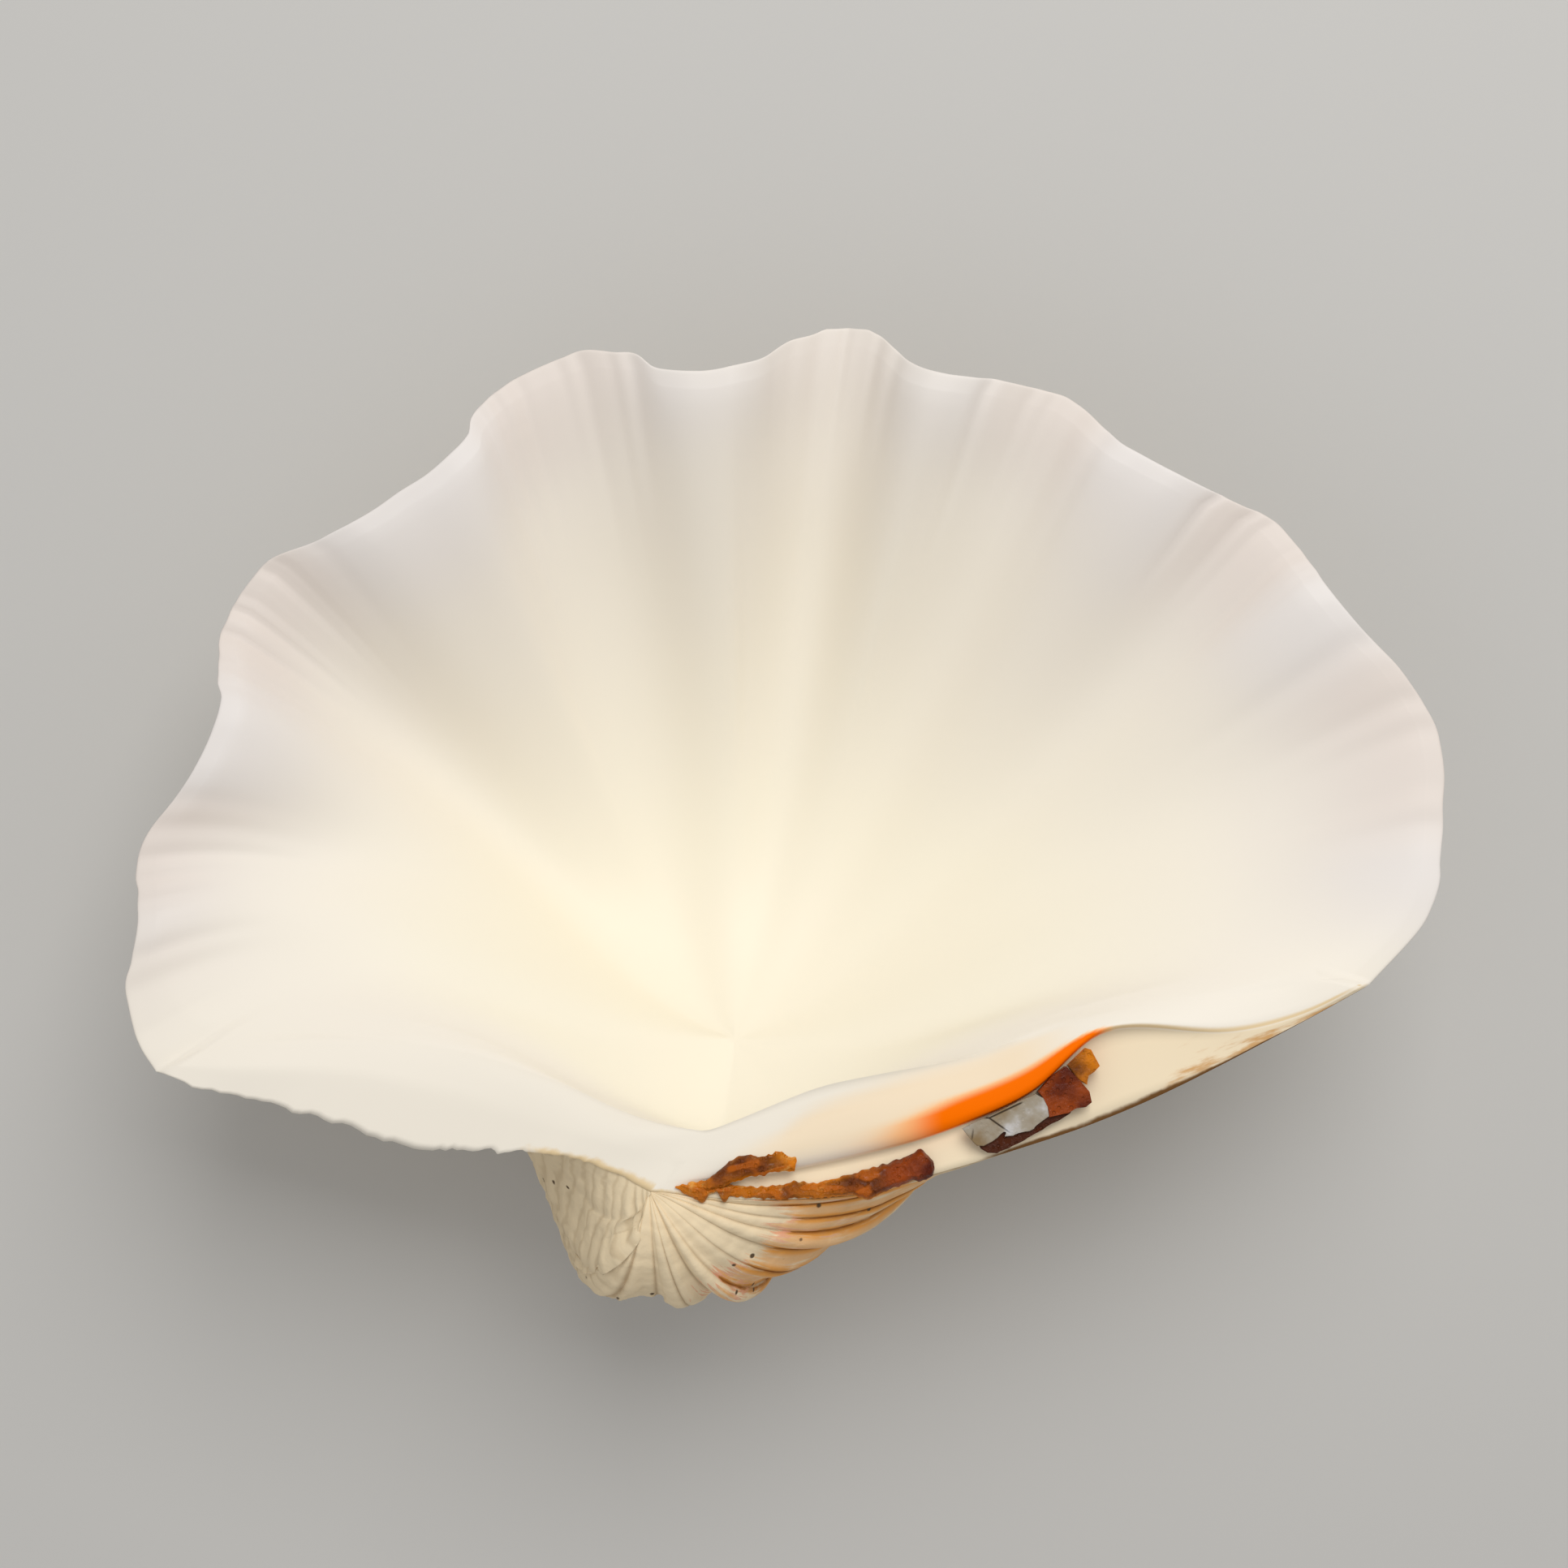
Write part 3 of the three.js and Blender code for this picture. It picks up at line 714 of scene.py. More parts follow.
valve_mesh = bpy.data.meshes.new("valve")
valve_mesh.from_pydata(lay_down(all_points).tolist(), [], [tuple(int(i) for i in f) for f in faces])
valve_mesh.validate()
valve_mesh.polygons.foreach_set("use_smooth", np.ones(len(valve_mesh.polygons), bool))
valve = bpy.data.objects.new("valve", valve_mesh)
bpy.context.scene.collection.objects.link(valve)
print("valve:", len(valve_mesh.vertices), "vertices,", len(valve_mesh.loop_triangles), "triangles")

# %% [markdown]
# ## Remember where each vertex is
#
# A named attribute holds one number per vertex. The shader can read it by name, so colour follows
# the growth and the hinge and not just the place in space. On the hinge plate there is an orange
# band above the step, which swells and tapers along it, so its width is drawn as a curve.

# %% Store the attributes
# share along the hinge, share of the plate's width that the orange band covers, how strong it is
ORANGE_BAND = [
    (0, 0.2, 0), (0.24, 0.25, 0.06), (0.34, 0.34, 0.3), (0.42, 0.4, 0.85), (0.5, 0.4, 1),
    (0.57, 0.36, 1), (0.61, 0.24, 1), (0.64, 0.1, 0.5), (0.67, 0, 0), (1, 0, 0),
]
ORANGE_SOFT = (0.16, 0.1)  # how far its soft side reaches in and out
CREAM_ENDS, LEDGE_FROM = ((0.06, 0.2), (0.5, 0.62)), (0.02, 0.06)
MARGIN_FADE = ((-28, -16), (180, 196))  # angles over which the margin's greys give way at its ends


def store(name, outside_values, inside_values, beak_value, cavity_value):
    """One number per vertex, in the order of the valve's vertices."""
    values = [[beak_value], np.ravel(outside_values), np.ravel(inside_values), [cavity_value]]
    attribute = valve_mesh.attributes.new(name, "FLOAT", "POINT")
    attribute.data.foreach_set("value", np.concatenate(values).astype(np.float32))


def over_inside(by_row, by_line):
    """A grid on the inside from a number per row and a number per line."""
    return np.asarray(by_row)[:, None] * np.asarray(by_line)[None, :]


def on_back_plate(values):
    """A grid on the inside that is 0 but for the rows across the back half of the hinge."""
    grid = np.zeros(inside.shape[:2])
    grid[:EDGE_ROWS, MARGIN_STEPS + len(front_shares) + 1:] = values
    return grid


def orange_at(share, across):
    """The orange band, strongest by the step and soft at its other side."""
    limit, strength = through(ORANGE_BAND, 1, share), through(ORANGE_BAND, 2, share).clip(0, 1)
    return strength * (1 - ease(limit - ORANGE_SOFT[0], limit + ORANGE_SOFT[1], across))


plate_rows = np.arange(EDGE_ROWS)
plate_across = np.clip((plate_rows - TOP_ROW) / (EDGE_ROWS - 1 - TOP_ROW), 0, 1)
share_grid, across_grid = np.meshgrid(back_shares, plate_across)
on_plate = (plate_rows >= TOP_ROW)[:, None]
ends = (np.full(len(front_shares), FRONT_END), [FRONT_END], np.full(len(back_shares), BACK_END))
_, _, ring_lobe = fold_at(np.concatenate([angles, *ends]).astype(float))
blank_out, blank_in = np.zeros(outside.shape[:2]), np.zeros(inside.shape[:2])
every_row, every_line = np.ones(inside.shape[0]), np.ones(inside.shape[1])
inward = np.concatenate([np.zeros(EDGE_ROWS), 1 - hollow_shares])
is_edge = np.concatenate([np.ones(EDGE_ROWS), np.zeros(HOLLOW_ROWS)])
across = np.concatenate([np.linspace(0, 1, EDGE_ROWS), np.ones(HOLLOW_ROWS)])
by_margin = np.zeros(inside.shape[1])
by_margin[:MARGIN_STEPS] = between(MARGIN_FADE, angles)
store("outside", blank_out + 1, blank_in, 1, 0)
store("growth", growth_grid, blank_in + 1, 0, 1)
store("turned", (angle_grid - BACK_END) / (FRONT_END - BACK_END), blank_in, 0.5, 0)
store("rib", rib_grid, blank_in, RIB_LEVEL, 0)
store("front", front_grid, blank_in, 0, 0)
store("lobe", lobe_grid, over_inside(every_row, ring_lobe), 0, 0)
store("inward", blank_out, over_inside(inward, every_line), 0, 1)
store("margin", blank_out, over_inside(every_row, by_margin), 0, 0)
store("plate", blank_out, over_inside(is_edge, is_hinge), 1, 0)
store("along", blank_out, over_inside(every_row, ring_share), 0, 0)
store("across", blank_out, over_inside(across, every_line), 0, 1)
orange = orange_at(share_grid, across_grid) * (plate_rows >= FOOT_ROW)[:, None]
cream = tooth_at(share_grid, across_grid) * between(CREAM_ENDS, share_grid) * on_plate
ledge = ease(*LEDGE_FROM, share_grid) * (plate_rows <= FOOT_ROW)[:, None]
for name, values in (("orange", orange), ("cream", cream), ("ledge", ledge)):
    store(name, blank_out, on_back_plate(values), 0, 0)
print("attributes:", [a.name for a in valve_mesh.attributes if a.data_type == "FLOAT"])

# %% [markdown]
# ## Scraps of dried ligament
#
# The ligament was a dark elastic band that sprang the two valves open. Dried and torn, it is left
# as a strip beside the beak, a flap on the plate and a block in the corner of the ledge. The strip
# and the flap are lofted through stations along the hinge, then roughened into flakes: layers
# that end at different places. Each vertex notes how thin it is, because thin ligament is amber.

# %% Strip and flap
# x along the hinge, y of its lower and upper edge, thickness
STRIP = [
    (6.3, 1.2, 1.7, 0.5), (8, -0.2, 1.7, 0.9), (9.6, -1.3, 1.6, 1.2), (11.5, -3, 1.2, 1.5),
    (12.9, -3, 0.8, 1.4), (14, -1.8, 0.5, 1.1), (16, -1.4, 0.2, 1.2), (17.2, -4.3, -0.1, 1.5),
    (18.8, -3.2, -0.3, 1.1), (24.5, -4.4, -1.9, 1.2), (30.5, -5.7, -2.5, 1.3), (35, -6.1, -2.2, 1.5),
    (40, -7.2, -3.6, 1.4), (44, -7.4, -3.2, 1.8), (48.2, -7.5, -3, 2.2), (50.6, -9.5, -2.6, 2.6),
    (52.4, -9.6, -2.4, 2.6), (54.7, -8.3, -2.2, 2.8), (58.5, -7.7, -1.8, 3), (63, -6.9, -0.7, 3.2),
    (66.2, -7.2, 0.2, 3), (67.8, -6.5, -2, 2.4), (68.6, -5, -3, 1.2),
]
FLAP = [
    (9.5, 0.6, 1.9, 0.5), (12, 0.2, 2, 0.9), (14, -0.6, 2, 1.2), (16.5, -0.6, 3, 1.5),
    (19.5, 0.1, 5, 1.8), (22.5, 0.6, 6, 1.9), (25.5, 0.8, 6.2, 1.8), (27, 0.8, 5.2, 1.6),
    (29, 0.7, 5.5, 1.5), (31.5, 0.6, 6.2, 1.3), (33.2, 0.4, 6.4, 1), (34.2, 0.2, 4.9, 0.8),
    (35.2, 0.2, 4.2, 0.6), (36.2, 2.8, 4, 0.35),
]
LIGAMENT_GAP, LEAST_THICK = 0.4, 0.3
FLAKE_SIZE, FLAKE_HEIGHT, FLAKE_LAYERS = 2.4, 0.7, 3
FLAKE_STRETCH, FLAKE_END = np.array((0.45, 1.3, 1.0)), (0.6, 0.95)
TORN_EDGE, TORN_SIZE, OTHER_SIDE = 0.55, 1.3, 40.0
RIM_SHARE, RIM_SPAN = 0.35, 0.25  # share of the thickness left at the rim, and the rim's width
AMBER_FROM, AMBER_SPAN = 1.3, 1.6
SCRAP_ACROSS, STRIP_STEPS, FLAP_STEPS = 28, 260, 130
STRIP_RED, FLAP_RED = (54, 59), (90, 99)  # along the hinge; the flap ends before it would redden
plate_samples = back_plate(np.linspace(0, 1, 400))


def ledge_height(rows, x, y):
    """Height of the plate between two of its rows, at places given by x and y."""
    (y0, z0), (y1, z1) = (
        [np.interp(x, plate_samples[r][:, 0], plate_samples[r][:, k]) for k in (1, 2)] for r in rows)
    return z0 + (z1 - z0) * np.clip((y - y0) / (y1 - y0), 0, 1)


def flake_steps(values):
    """Turns soft noise into a few flat layers with steep ends between them."""
    scaled = (values * 0.5 + 0.5) * FLAKE_LAYERS
    floor = np.floor(scaled)
    return (floor + ease(*FLAKE_END, scaled - floor)) / FLAKE_LAYERS


def scrap_sides(stations, rows, count):
    """Upper and under side of a torn scrap, with how thin and how flaked it is."""
    x = np.linspace(stations[0][0], stations[-1][0], count)
    places, *columns = zip(*stations)
    low, high, thick = (np.interp(x, places, column) for column in columns)
    share = np.linspace(0, 1, SCRAP_ACROSS)
    for edge, side in ((low, 0.0), (high, OTHER_SIDE)):
        edge += TORN_EDGE * lumps(np.stack([x, edge + side, thick], -1), TORN_SIZE)
    y = low[:, None] + (high - low)[:, None] * share[None, :]
    x = np.broadcast_to(x[:, None], y.shape)
    under = np.stack([x, y, ledge_height(rows, x, y) + LIGAMENT_GAP], -1)
    rim = np.minimum(ease(0, RIM_SPAN, share), 1 - ease(1 - RIM_SPAN, 1, share))[None, :]
    flakes = flake_steps(lumps(under * FLAKE_STRETCH, FLAKE_SIZE))
    full = RIM_SHARE + (1 - RIM_SHARE) * np.sqrt(rim)
    height = thick[:, None] * full + FLAKE_HEIGHT * (flakes - 0.5)
    over = under + np.maximum(height, LEAST_THICK)[..., None] * np.array((0, 0, 1.0))
    thin = np.clip(AMBER_FROM - height / AMBER_SPAN, 0, 1)
    return over, under, flakes, thin


def loft_faces(rows, columns):
    """Faces of a closed body from the numbers of its upper and its under side."""
    upper = np.arange(rows * columns).reshape(rows, columns)
    lower = upper + rows * columns
    made = []
    for i in range(rows - 1):
        for j in range(columns - 1):
            made.append((upper[i, j], upper[i + 1, j], upper[i + 1, j + 1], upper[i, j + 1]))
            made.append((lower[i, j], lower[i, j + 1], lower[i + 1, j + 1], lower[i + 1, j]))
        made.append((upper[i, 0], lower[i, 0], lower[i + 1, 0], upper[i + 1, 0]))
        made.append((upper[i + 1, -1], lower[i + 1, -1], lower[i, -1], upper[i, -1]))
    for j in range(columns - 1):
        made.append((upper[0, j + 1], lower[0, j + 1], lower[0, j], upper[0, j]))
        made.append((upper[-1, j], lower[-1, j], lower[-1, j + 1], upper[-1, j + 1]))
    return made


def scrap_object(name, points, made, numbers):
    """An object from points and faces, with one number per vertex for each attribute."""
    mesh = bpy.data.meshes.new(name)
    mesh.from_pydata(lay_down(points).tolist(), [], [tuple(int(i) for i in f) for f in made])
    for label, values in numbers.items():
        attribute = mesh.attributes.new(label, "FLOAT", "POINT")
        attribute.data.foreach_set("value", np.asarray(values, np.float32))
    scrap = bpy.data.objects.new(name, mesh)
    bpy.context.scene.collection.objects.link(scrap)
    return scrap


def lofted_scrap(name, stations, rows, count, red_from):
    """A strip or flap, redder from one place along the hinge on."""
    over, under, flakes, thin = scrap_sides(stations, rows, count)
    red = ease(*red_from, over[..., 0])
    numbers = {"flake": flakes, "amber": thin * (1 - red), "red": red, "silver": 0 * red}
    numbers = {label: np.concatenate([v.ravel(), v.ravel()]) for label, v in numbers.items()}
    points = np.concatenate([over.reshape(-1, 3), under.reshape(-1, 3)])
    return scrap_object(name, points, loft_faces(*over.shape[:2]), numbers)


strip_rows, flap_rows = (0, FOOT_ROW), (TOP_ROW, EDGE_ROWS - 5)
strip = lofted_scrap("strip_of_ligament", STRIP, strip_rows, STRIP_STEPS, STRIP_RED)
flap = lofted_scrap("flap_of_ligament", FLAP, flap_rows, FLAP_STEPS, FLAP_RED)
print("strip and flap:", len(strip.data.polygons), len(flap.data.polygons), "faces")

# %% [markdown]
# ## The broken block
#
# The block broke along flat faces, so it is made of slabs with drawn outlines: a dark body, a
# red-brown lump, a silvery sheet over its skin and an amber chip at the far end. A small bevel lets
# their edges catch the light.

# %% Block
# finish, underside, height at y = 0, rise per mm of y, outline as x and y
SLABS = [
    ("dark", -1.7, 1.2, 0.06, [
        (79.5, 1.5), (80.4, -2.2), (81.8, -3.4), (84, -3.9), (85.5, -3.3), (87, -3.2), (89, -2.4),
        (91, -2), (93, -1), (96, -0.2), (98, 0.9), (100, 1.2), (103, 2.4), (104, 3.6), (103, 8),
        (98, 7.5), (92, 6.6), (84, 4.2)]),
    ("red", -1.7, 2.4, 0.09, [
        (96.3, 8.9), (97.2, 7.2), (98, 5), (97.8, 2.4), (100.4, 2.6), (102.6, 2.6), (104.6, 3.6),
        (106.8, 3.3), (108.5, 4.2), (108.4, 6.8), (106.6, 9.8), (104, 13.7), (100, 11.7)]),
    ("amber", 0.4, 1.6, 0.12, [
        (104.4, 13.9), (106.4, 10), (108.2, 8.5), (108.8, 10.7), (110.4, 11.2), (112, 12.4),
        (110.6, 16.6), (109.4, 17.2)]),
    ("silver", 1.5, 2.2, 0.13, [
        (76.7, 3.4), (78.2, 0.6), (79.4, -1.2), (81, -1.6), (83.2, -0.9), (84.7, -0.2), (86.3, 1.1),
        (87.2, 0.9), (86.5, -0.2), (88.5, -0.4), (90, 0.2), (92.5, 0), (93.7, 0.4), (94.3, 1.2),
        (97.8, 2.7), (98, 5), (97.2, 7.2), (95.6, 8.4), (92, 7.7), (88, 6.5), (84, 5.3), (80, 4.4)]),
]
SLAB_BEVEL = 0.16


def slab(shape, mark, underside, height, tilt, outline):
    """Adds one slab to a bmesh and marks its vertices."""
    before = set(shape.verts)
    low = [shape.verts.new((x, y, underside)) for x, y in outline]
    high = [shape.verts.new((x, y, height + tilt * y)) for x, y in outline]
    top = shape.faces.new(high)
    shape.faces.new(low[::-1])
    for i in range(len(outline)):
        j = (i + 1) % len(outline)
        shape.faces.new((low[i], low[j], high[j], high[i]))
    bmesh.ops.bevel(shape, geom=list(top.edges), offset=SLAB_BEVEL, segments=2, affect="EDGES")
    layer = shape.verts.layers.int["finish"]
    for vertex in shape.verts:
        if vertex not in before:
            vertex[layer] = mark


def block_of_slabs():
    """All slabs as one object, each vertex marked with its slab's finish."""
    shape = bmesh.new()
    layer = shape.verts.layers.int.new("finish")
    for mark, (_, *measures) in enumerate(SLABS):
        slab(shape, mark, *measures)
    bmesh.ops.recalc_face_normals(shape, faces=shape.faces)
    shape.verts.index_update()
    points = np.array([v.co for v in shape.verts])
    marks = [SLABS[v[layer]][0] for v in shape.verts]
    made = [[v.index for v in f.verts] for f in shape.faces]
    shape.free()
    numbers = {label: [float(m == label) for m in marks] for label in ("red", "amber", "silver")}
    numbers["flake"] = [0.0] * len(marks)
    return scrap_object("block_of_ligament", points, made, numbers)


scraps = {"ligament_strip": strip, "ligament_flap": flap, "ligament_block": block_of_slabs()}
print("scraps:", {name: len(scrap.data.polygons) for name, scrap in scraps.items()})

# %% [markdown]
# ## Small tools for shader trees
#
# Node trees are easier to read when each node is made and wired in one line. The helper add makes
# a node and wires its inputs. Sums, noise, masks and layers of paint are all made with it.


# %% Shader helpers
def colour(red, green, blue):
    """A colour given as it looks on a screen, 0 to 255, turned into the light values shaders use."""
    def light(v):
        v = v / 255
        return v / 12.92 if v <= 0.04045 else ((v + 0.055) / 1.055) ** 2.4
    return (light(red), light(green), light(blue), 1.0)


def add(tree, kind, inputs=None, **settings):
    """Adds a node; inputs are plain values or other nodes' output sockets."""
    node = tree.nodes.new(kind)
    for name, value in settings.items():
        setattr(node, name, value)
    for key, value in (inputs or {}).items():
        if isinstance(value, bpy.types.NodeSocket):
            tree.links.new(value, node.inputs[key])
        else:
            node.inputs[key].default_value = value
    return node


def maths(tree, kind, a, b=0.0):
    """One maths node on two values."""
    return add(tree, "ShaderNodeMath", {0: a, 1: b}, operation=kind).outputs[0]


def product(tree, *values):
    """Several masks multiplied together."""
    total = values[0]
    for value in values[1:]:
        total = maths(tree, "MULTIPLY", total, value)
    return total


def noise_in(tree, place, scale, detail=2.0, roughness=0.5):
    """Soft noise, with more detail for finer grain."""
    inputs = {"Vector": place, "Scale": scale, "Detail": detail, "Roughness": roughness}
    return add(tree, "ShaderNodeTexNoise", inputs).outputs["Fac"]


def span(tree, value, low, high, to_low=0.0, to_high=1.0):
    """Maps a value smoothly from one span to another."""
    inputs = {"Value": value, "From Min": low, "From Max": high, "To Min": to_low, "To Max": to_high}
    return add(tree, "ShaderNodeMapRange", inputs, interpolation_type="SMOOTHSTEP").outputs["Result"]


def paint(tree, mask, under, over):
    """Lays one colour over another where the mask is white."""
    return add(tree, "ShaderNodeMix", {0: mask, 6: under, 7: over}, data_type="RGBA").outputs[2]


def read(tree, name):
    """A number kept on the mesh's vertices."""
    return add(tree, "ShaderNodeAttribute", attribute_name=name).outputs["Fac"]


def where_on_object(tree):
    """Places in the object's own space, so that patterns stay put when it moves."""
    return add(tree, "ShaderNodeTexCoord").outputs["Object"]


def new_group(name, inputs, outputs):
    """An empty shader group with named sockets."""
    group = bpy.data.node_groups.new(name, "ShaderNodeTree")
    for label, kind, start in inputs:
        socket = group.interface.new_socket(label, in_out="INPUT", socket_type=kind)
        if start is not None:
            socket.default_value = start
    for label, kind in outputs:
        group.interface.new_socket(label, in_out="OUTPUT", socket_type=kind)
    return group, group.nodes.new("NodeGroupInput"), group.nodes.new("NodeGroupOutput")


def place_group(tree, group, inputs):
    """Puts a group into a material with its own values."""
    return add(tree, "ShaderNodeGroup", inputs, node_tree=group)


FLOAT, VECTOR = "NodeSocketFloat", "NodeSocketVector"
print("shader helpers ready")

# %% [markdown]
# ## Effects that several finishes share
#
# Three groups do most of the painting. One breaks a mask up into patches, as a stain soaks in
# unevenly. One scatters small pits. One draws fine lines along a number, such as the growth, with
# a little waver. Each gives only masks and heights, and the materials decide what those colour.


# %% Shared shader groups
PATCH_DETAIL, PATCH_ROUGHNESS, PATCH_PUSH = 6.0, 0.6, 4.0
PATCH_EDGE, PATCH_LIMIT = (0.25, 0.85), (0.0, 0.25)
PIT_EDGE = (1.0, 0.5)
LINE_DRIFT, LINE_DRIFT_DETAIL, LINE_STRENGTH = 60.0, 3.0, 25.0


def patchy_group():
    """A mask broken up by noise."""
    group, given, out = new_group(
        "patchy",
        [("Vector", VECTOR, None), ("Mask", FLOAT, 1.0), ("Scale", FLOAT, 100.0), ("Break", FLOAT, 0.5)],
        [("Mask", FLOAT)])
    place, mask, scale, amount = given.outputs[:4]
    grain = noise_in(group, place, scale, PATCH_DETAIL, PATCH_ROUGHNESS)
    pushed = product(group, maths(group, "SUBTRACT", grain, 0.5), PATCH_PUSH, amount)
    torn = maths(group, "ADD", mask, pushed)
    limited = product(group, span(group, torn, *PATCH_EDGE), span(group, mask, *PATCH_LIMIT))
    group.links.new(limited, out.inputs["Mask"])
    return group


def pits_group():
    """Scattered small pits as a mask."""
    group, given, out = new_group(
        "pits",
        [("Vector", VECTOR, None), ("Scale", FLOAT, 300.0), ("Size", FLOAT, 0.2), ("Share", FLOAT, 0.5)],
        [("Mask", FLOAT)])
    place, scale, size, share = given.outputs[:4]
    cells = add(group, "ShaderNodeTexVoronoi", {"Vector": place, "Scale": scale})
    spot = span(group, maths(group, "DIVIDE", cells.outputs["Distance"], size), *PIT_EDGE)
    chosen = add(group, "ShaderNodeSeparateColor", {"Color": cells.outputs["Color"]}).outputs[0]
    kept = maths(group, "LESS_THAN", chosen, share)
    group.links.new(product(group, spot, kept), out.inputs["Mask"])
    return group


def lines_group():
    """Fine wavering lines along a number."""
    group, given, out = new_group(
        "fine_lines",
        [("Vector", VECTOR, None), ("Along", FLOAT, 0.0), ("Count", FLOAT, 60.0), ("Waver", FLOAT, 0.5)],
        [("Height", FLOAT)])
    place, along, count, waver = given.outputs[:4]
    wander = product(group, noise_in(group, place, LINE_DRIFT, LINE_DRIFT_DETAIL), waver)
    phase = maths(group, "ADD", product(group, along, count), wander)
    wave = maths(group, "SINE", product(group, phase, 2 * math.pi))
    level = maths(group, "ADD", product(group, wave, 0.5), 0.5)
    height = product(group, level, noise_in(group, place, LINE_STRENGTH))
    group.links.new(height, out.inputs["Height"])
    return group


patchy, pits, fine_lines = patchy_group(), pits_group(), lines_group()
print("groups:", [g.name for g in (patchy, pits, fine_lines)])

# %% [markdown]
# ## The shell's finish
#
# One piece of shell shows several faces. The hollow is smooth porcelain, ivory where it is deep
# and greyer at the margin; partly this is its own tint and partly painted light, a painted glow
# in the depth and painted shade towards the margin. The outside is chalk, with growth lines, pits
# and rusty stains about the beak. The hinge has a bright orange band where the ligament was, and
# brown streaks on its ledge; its plate is a cool grey that is partly painted shade.

# %% Shell colours
# the ivory of the deep bowl is partly a painted glow, and the rim's grey is partly painted shade
IVORY_AND_PAINTED_GLOW, WARM_WHITE, RIM_GREY_AND_SHADE = colour(245, 237, 217), colour(241, 233, 219), colour(230, 222, 213)
RIM_COOL, FOLD_ROSE, PLATE_GREY_AND_SHADE = colour(230, 224, 220), colour(225, 213, 204), colour(236, 228, 213)
CHALK, CHALK_GREY, GROOVE = colour(238, 217, 181), colour(216, 198, 165), colour(150, 120, 82)
OCHRE, RUST_GROOVE, ROSE_SPOT = colour(234, 160, 72), colour(140, 80, 24), colour(226, 150, 122)
PIT, LINE_SHADE = colour(92, 74, 54), colour(176, 152, 116)
ORANGE, PEACH, CREAM = colour(253, 114, 0), colour(251, 198, 140), colour(240, 220, 190)
LEDGE_CREAM, RUST, EDGE_YELLOW = colour(240, 222, 190), colour(206, 152, 84), colour(222, 188, 124)
EDGE_BROWN = colour(122, 84, 44)
STREAK_ALONG, STREAK_ACROSS = 14.0, 60.0
LEDGE_HEADING, LEDGE_STRETCH = math.radians(22), (5, 1, 1)
DRIFT_SCALE, DRIFT_FROM, EDGE_STRENGTH, ROSE_LOBE = 9.0, (0.2, 0.8), 0.75, (0.05, 0.8)
# depths into the hollow, as shares of the way to its bottom
DRIFT_TO, IVORY_GLOW_DEPTH, GREY_SHADE_DEPTH, EDGE_DEPTH = (-0.08, 0.08), (0.15, 0.6), (0.3, -0.05), (0.17, -0.06)
# shares along the hinge and across its plate
GREY_SHADE_ALONG, PEACH_SPAN, ORANGE_SPAN = ((-0.9, -0.1), (0.35, 0.8)), (0.0, 0.35), (0.12, 0.75)
RUST_ALONG, RUST_ACROSS = ((0.66, 0.82), (0.96, 1.0)), (0.4, 0.02)
BROWN_ALONG, BROWN_ACROSS = (0.4, 0.5), (0.05, 0.0)
STEP_LINE_ALONG, STEP_LINE_ACROSS = ((0.62, 0.66), (0.95, 1.0)), ((0.36, 0.42), (0.46, 0.52))
YELLOW_ALONG, YELLOW_ACROSS = ((-0.42, -0.1), (0.02, 0.08)), (0.2, 0.0)
# shares of a rib's height, of the growth and of the way round the margin
GROOVE_RIB, GROOVE_GROWTH = (0.75, 0.15), (0.02, 0.1)
OCHRE_GROWTH, OCHRE_TURN, OCHRE_RIB = ((0.085, 0.15), (0.24, 0.42)), (0.62, 0.3), (0.98, 0.7)
ROSY_EDGE, ROSY_GROWTH = ((0.02, 0.2), (0.4, 0.8)), ((0.08, 0.11), (0.17, 0.24))
# scale of a stain's patches and how far they break it up
RUST_PATCHES, BROWN_PATCHES, YELLOW_PATCHES = (330.0, 0.8), (90.0, 0.3), (120.0, 0.5)
MOTTLE_PATCHES, OCHRE_PATCHES, ROSY_PATCHES = (90.0, 0.5), (1.0, 0.75), (75.0, 0.9)
# how strong a stain is before it is broken up, and how well it covers in the end
RUST_MASK, YELLOW_MASK, MOTTLE_MASK, OCHRE_MASK, ROSY_MASK = 0.6, 0.8, 0.4, 0.8, 0.6
RUST_COVER, YELLOW_COVER, MOTTLE_COVER, OCHRE_COVER, ROSY_COVER = 0.85, 0.7, 0.5, (0.55, 0.95), 0.6
STEP_LINE_COVER, FRONT_COVER, GROOVE_COVER, LINE_COVER = 0.7, 0.55, 0.45, (0.15, 0.55)


def window(tree, value, rise, fall):
    """White between two spans of a value."""
    return product(tree, span(tree, value, *rise), span(tree, value, *fall, 1.0, 0.0))


def broken(tree, place, mask, scale, amount):
    """A mask broken up into patches."""
    inputs = {"Vector": place, "Mask": mask, "Scale": scale, "Break": amount}
    return place_group(tree, patchy, inputs).outputs["Mask"]


def inside_colour(tree, place):
    """Porcelain: ivory in the depth with a painted glow, greyer at the margin as painted shade, rosy in
    the folds.
    """
    inward, lobe, margin = (read(tree, name) for name in ("inward", "lobe", "margin"))
    drift = span(tree, noise_in(tree, place, DRIFT_SCALE), *DRIFT_FROM, *DRIFT_TO)
    depth = maths(tree, "ADD", inward, drift)
    # painted light: ivory towards the bottom as a painted glow, grey towards the margin as painted shade
    deep = paint(tree, span(tree, depth, *IVORY_GLOW_DEPTH), WARM_WHITE, IVORY_AND_PAINTED_GLOW)
    greyed_and_shaded = paint(tree, product(tree, span(tree, depth, *GREY_SHADE_DEPTH), margin), deep, RIM_GREY_AND_SHADE)
    edge = paint(tree, span(tree, lobe, *ROSE_LOBE), RIM_COOL, FOLD_ROSE)
    near_edge = product(tree, span(tree, depth, *EDGE_DEPTH), margin, EDGE_STRENGTH)
    return paint(tree, near_edge, greyed_and_shaded, edge)


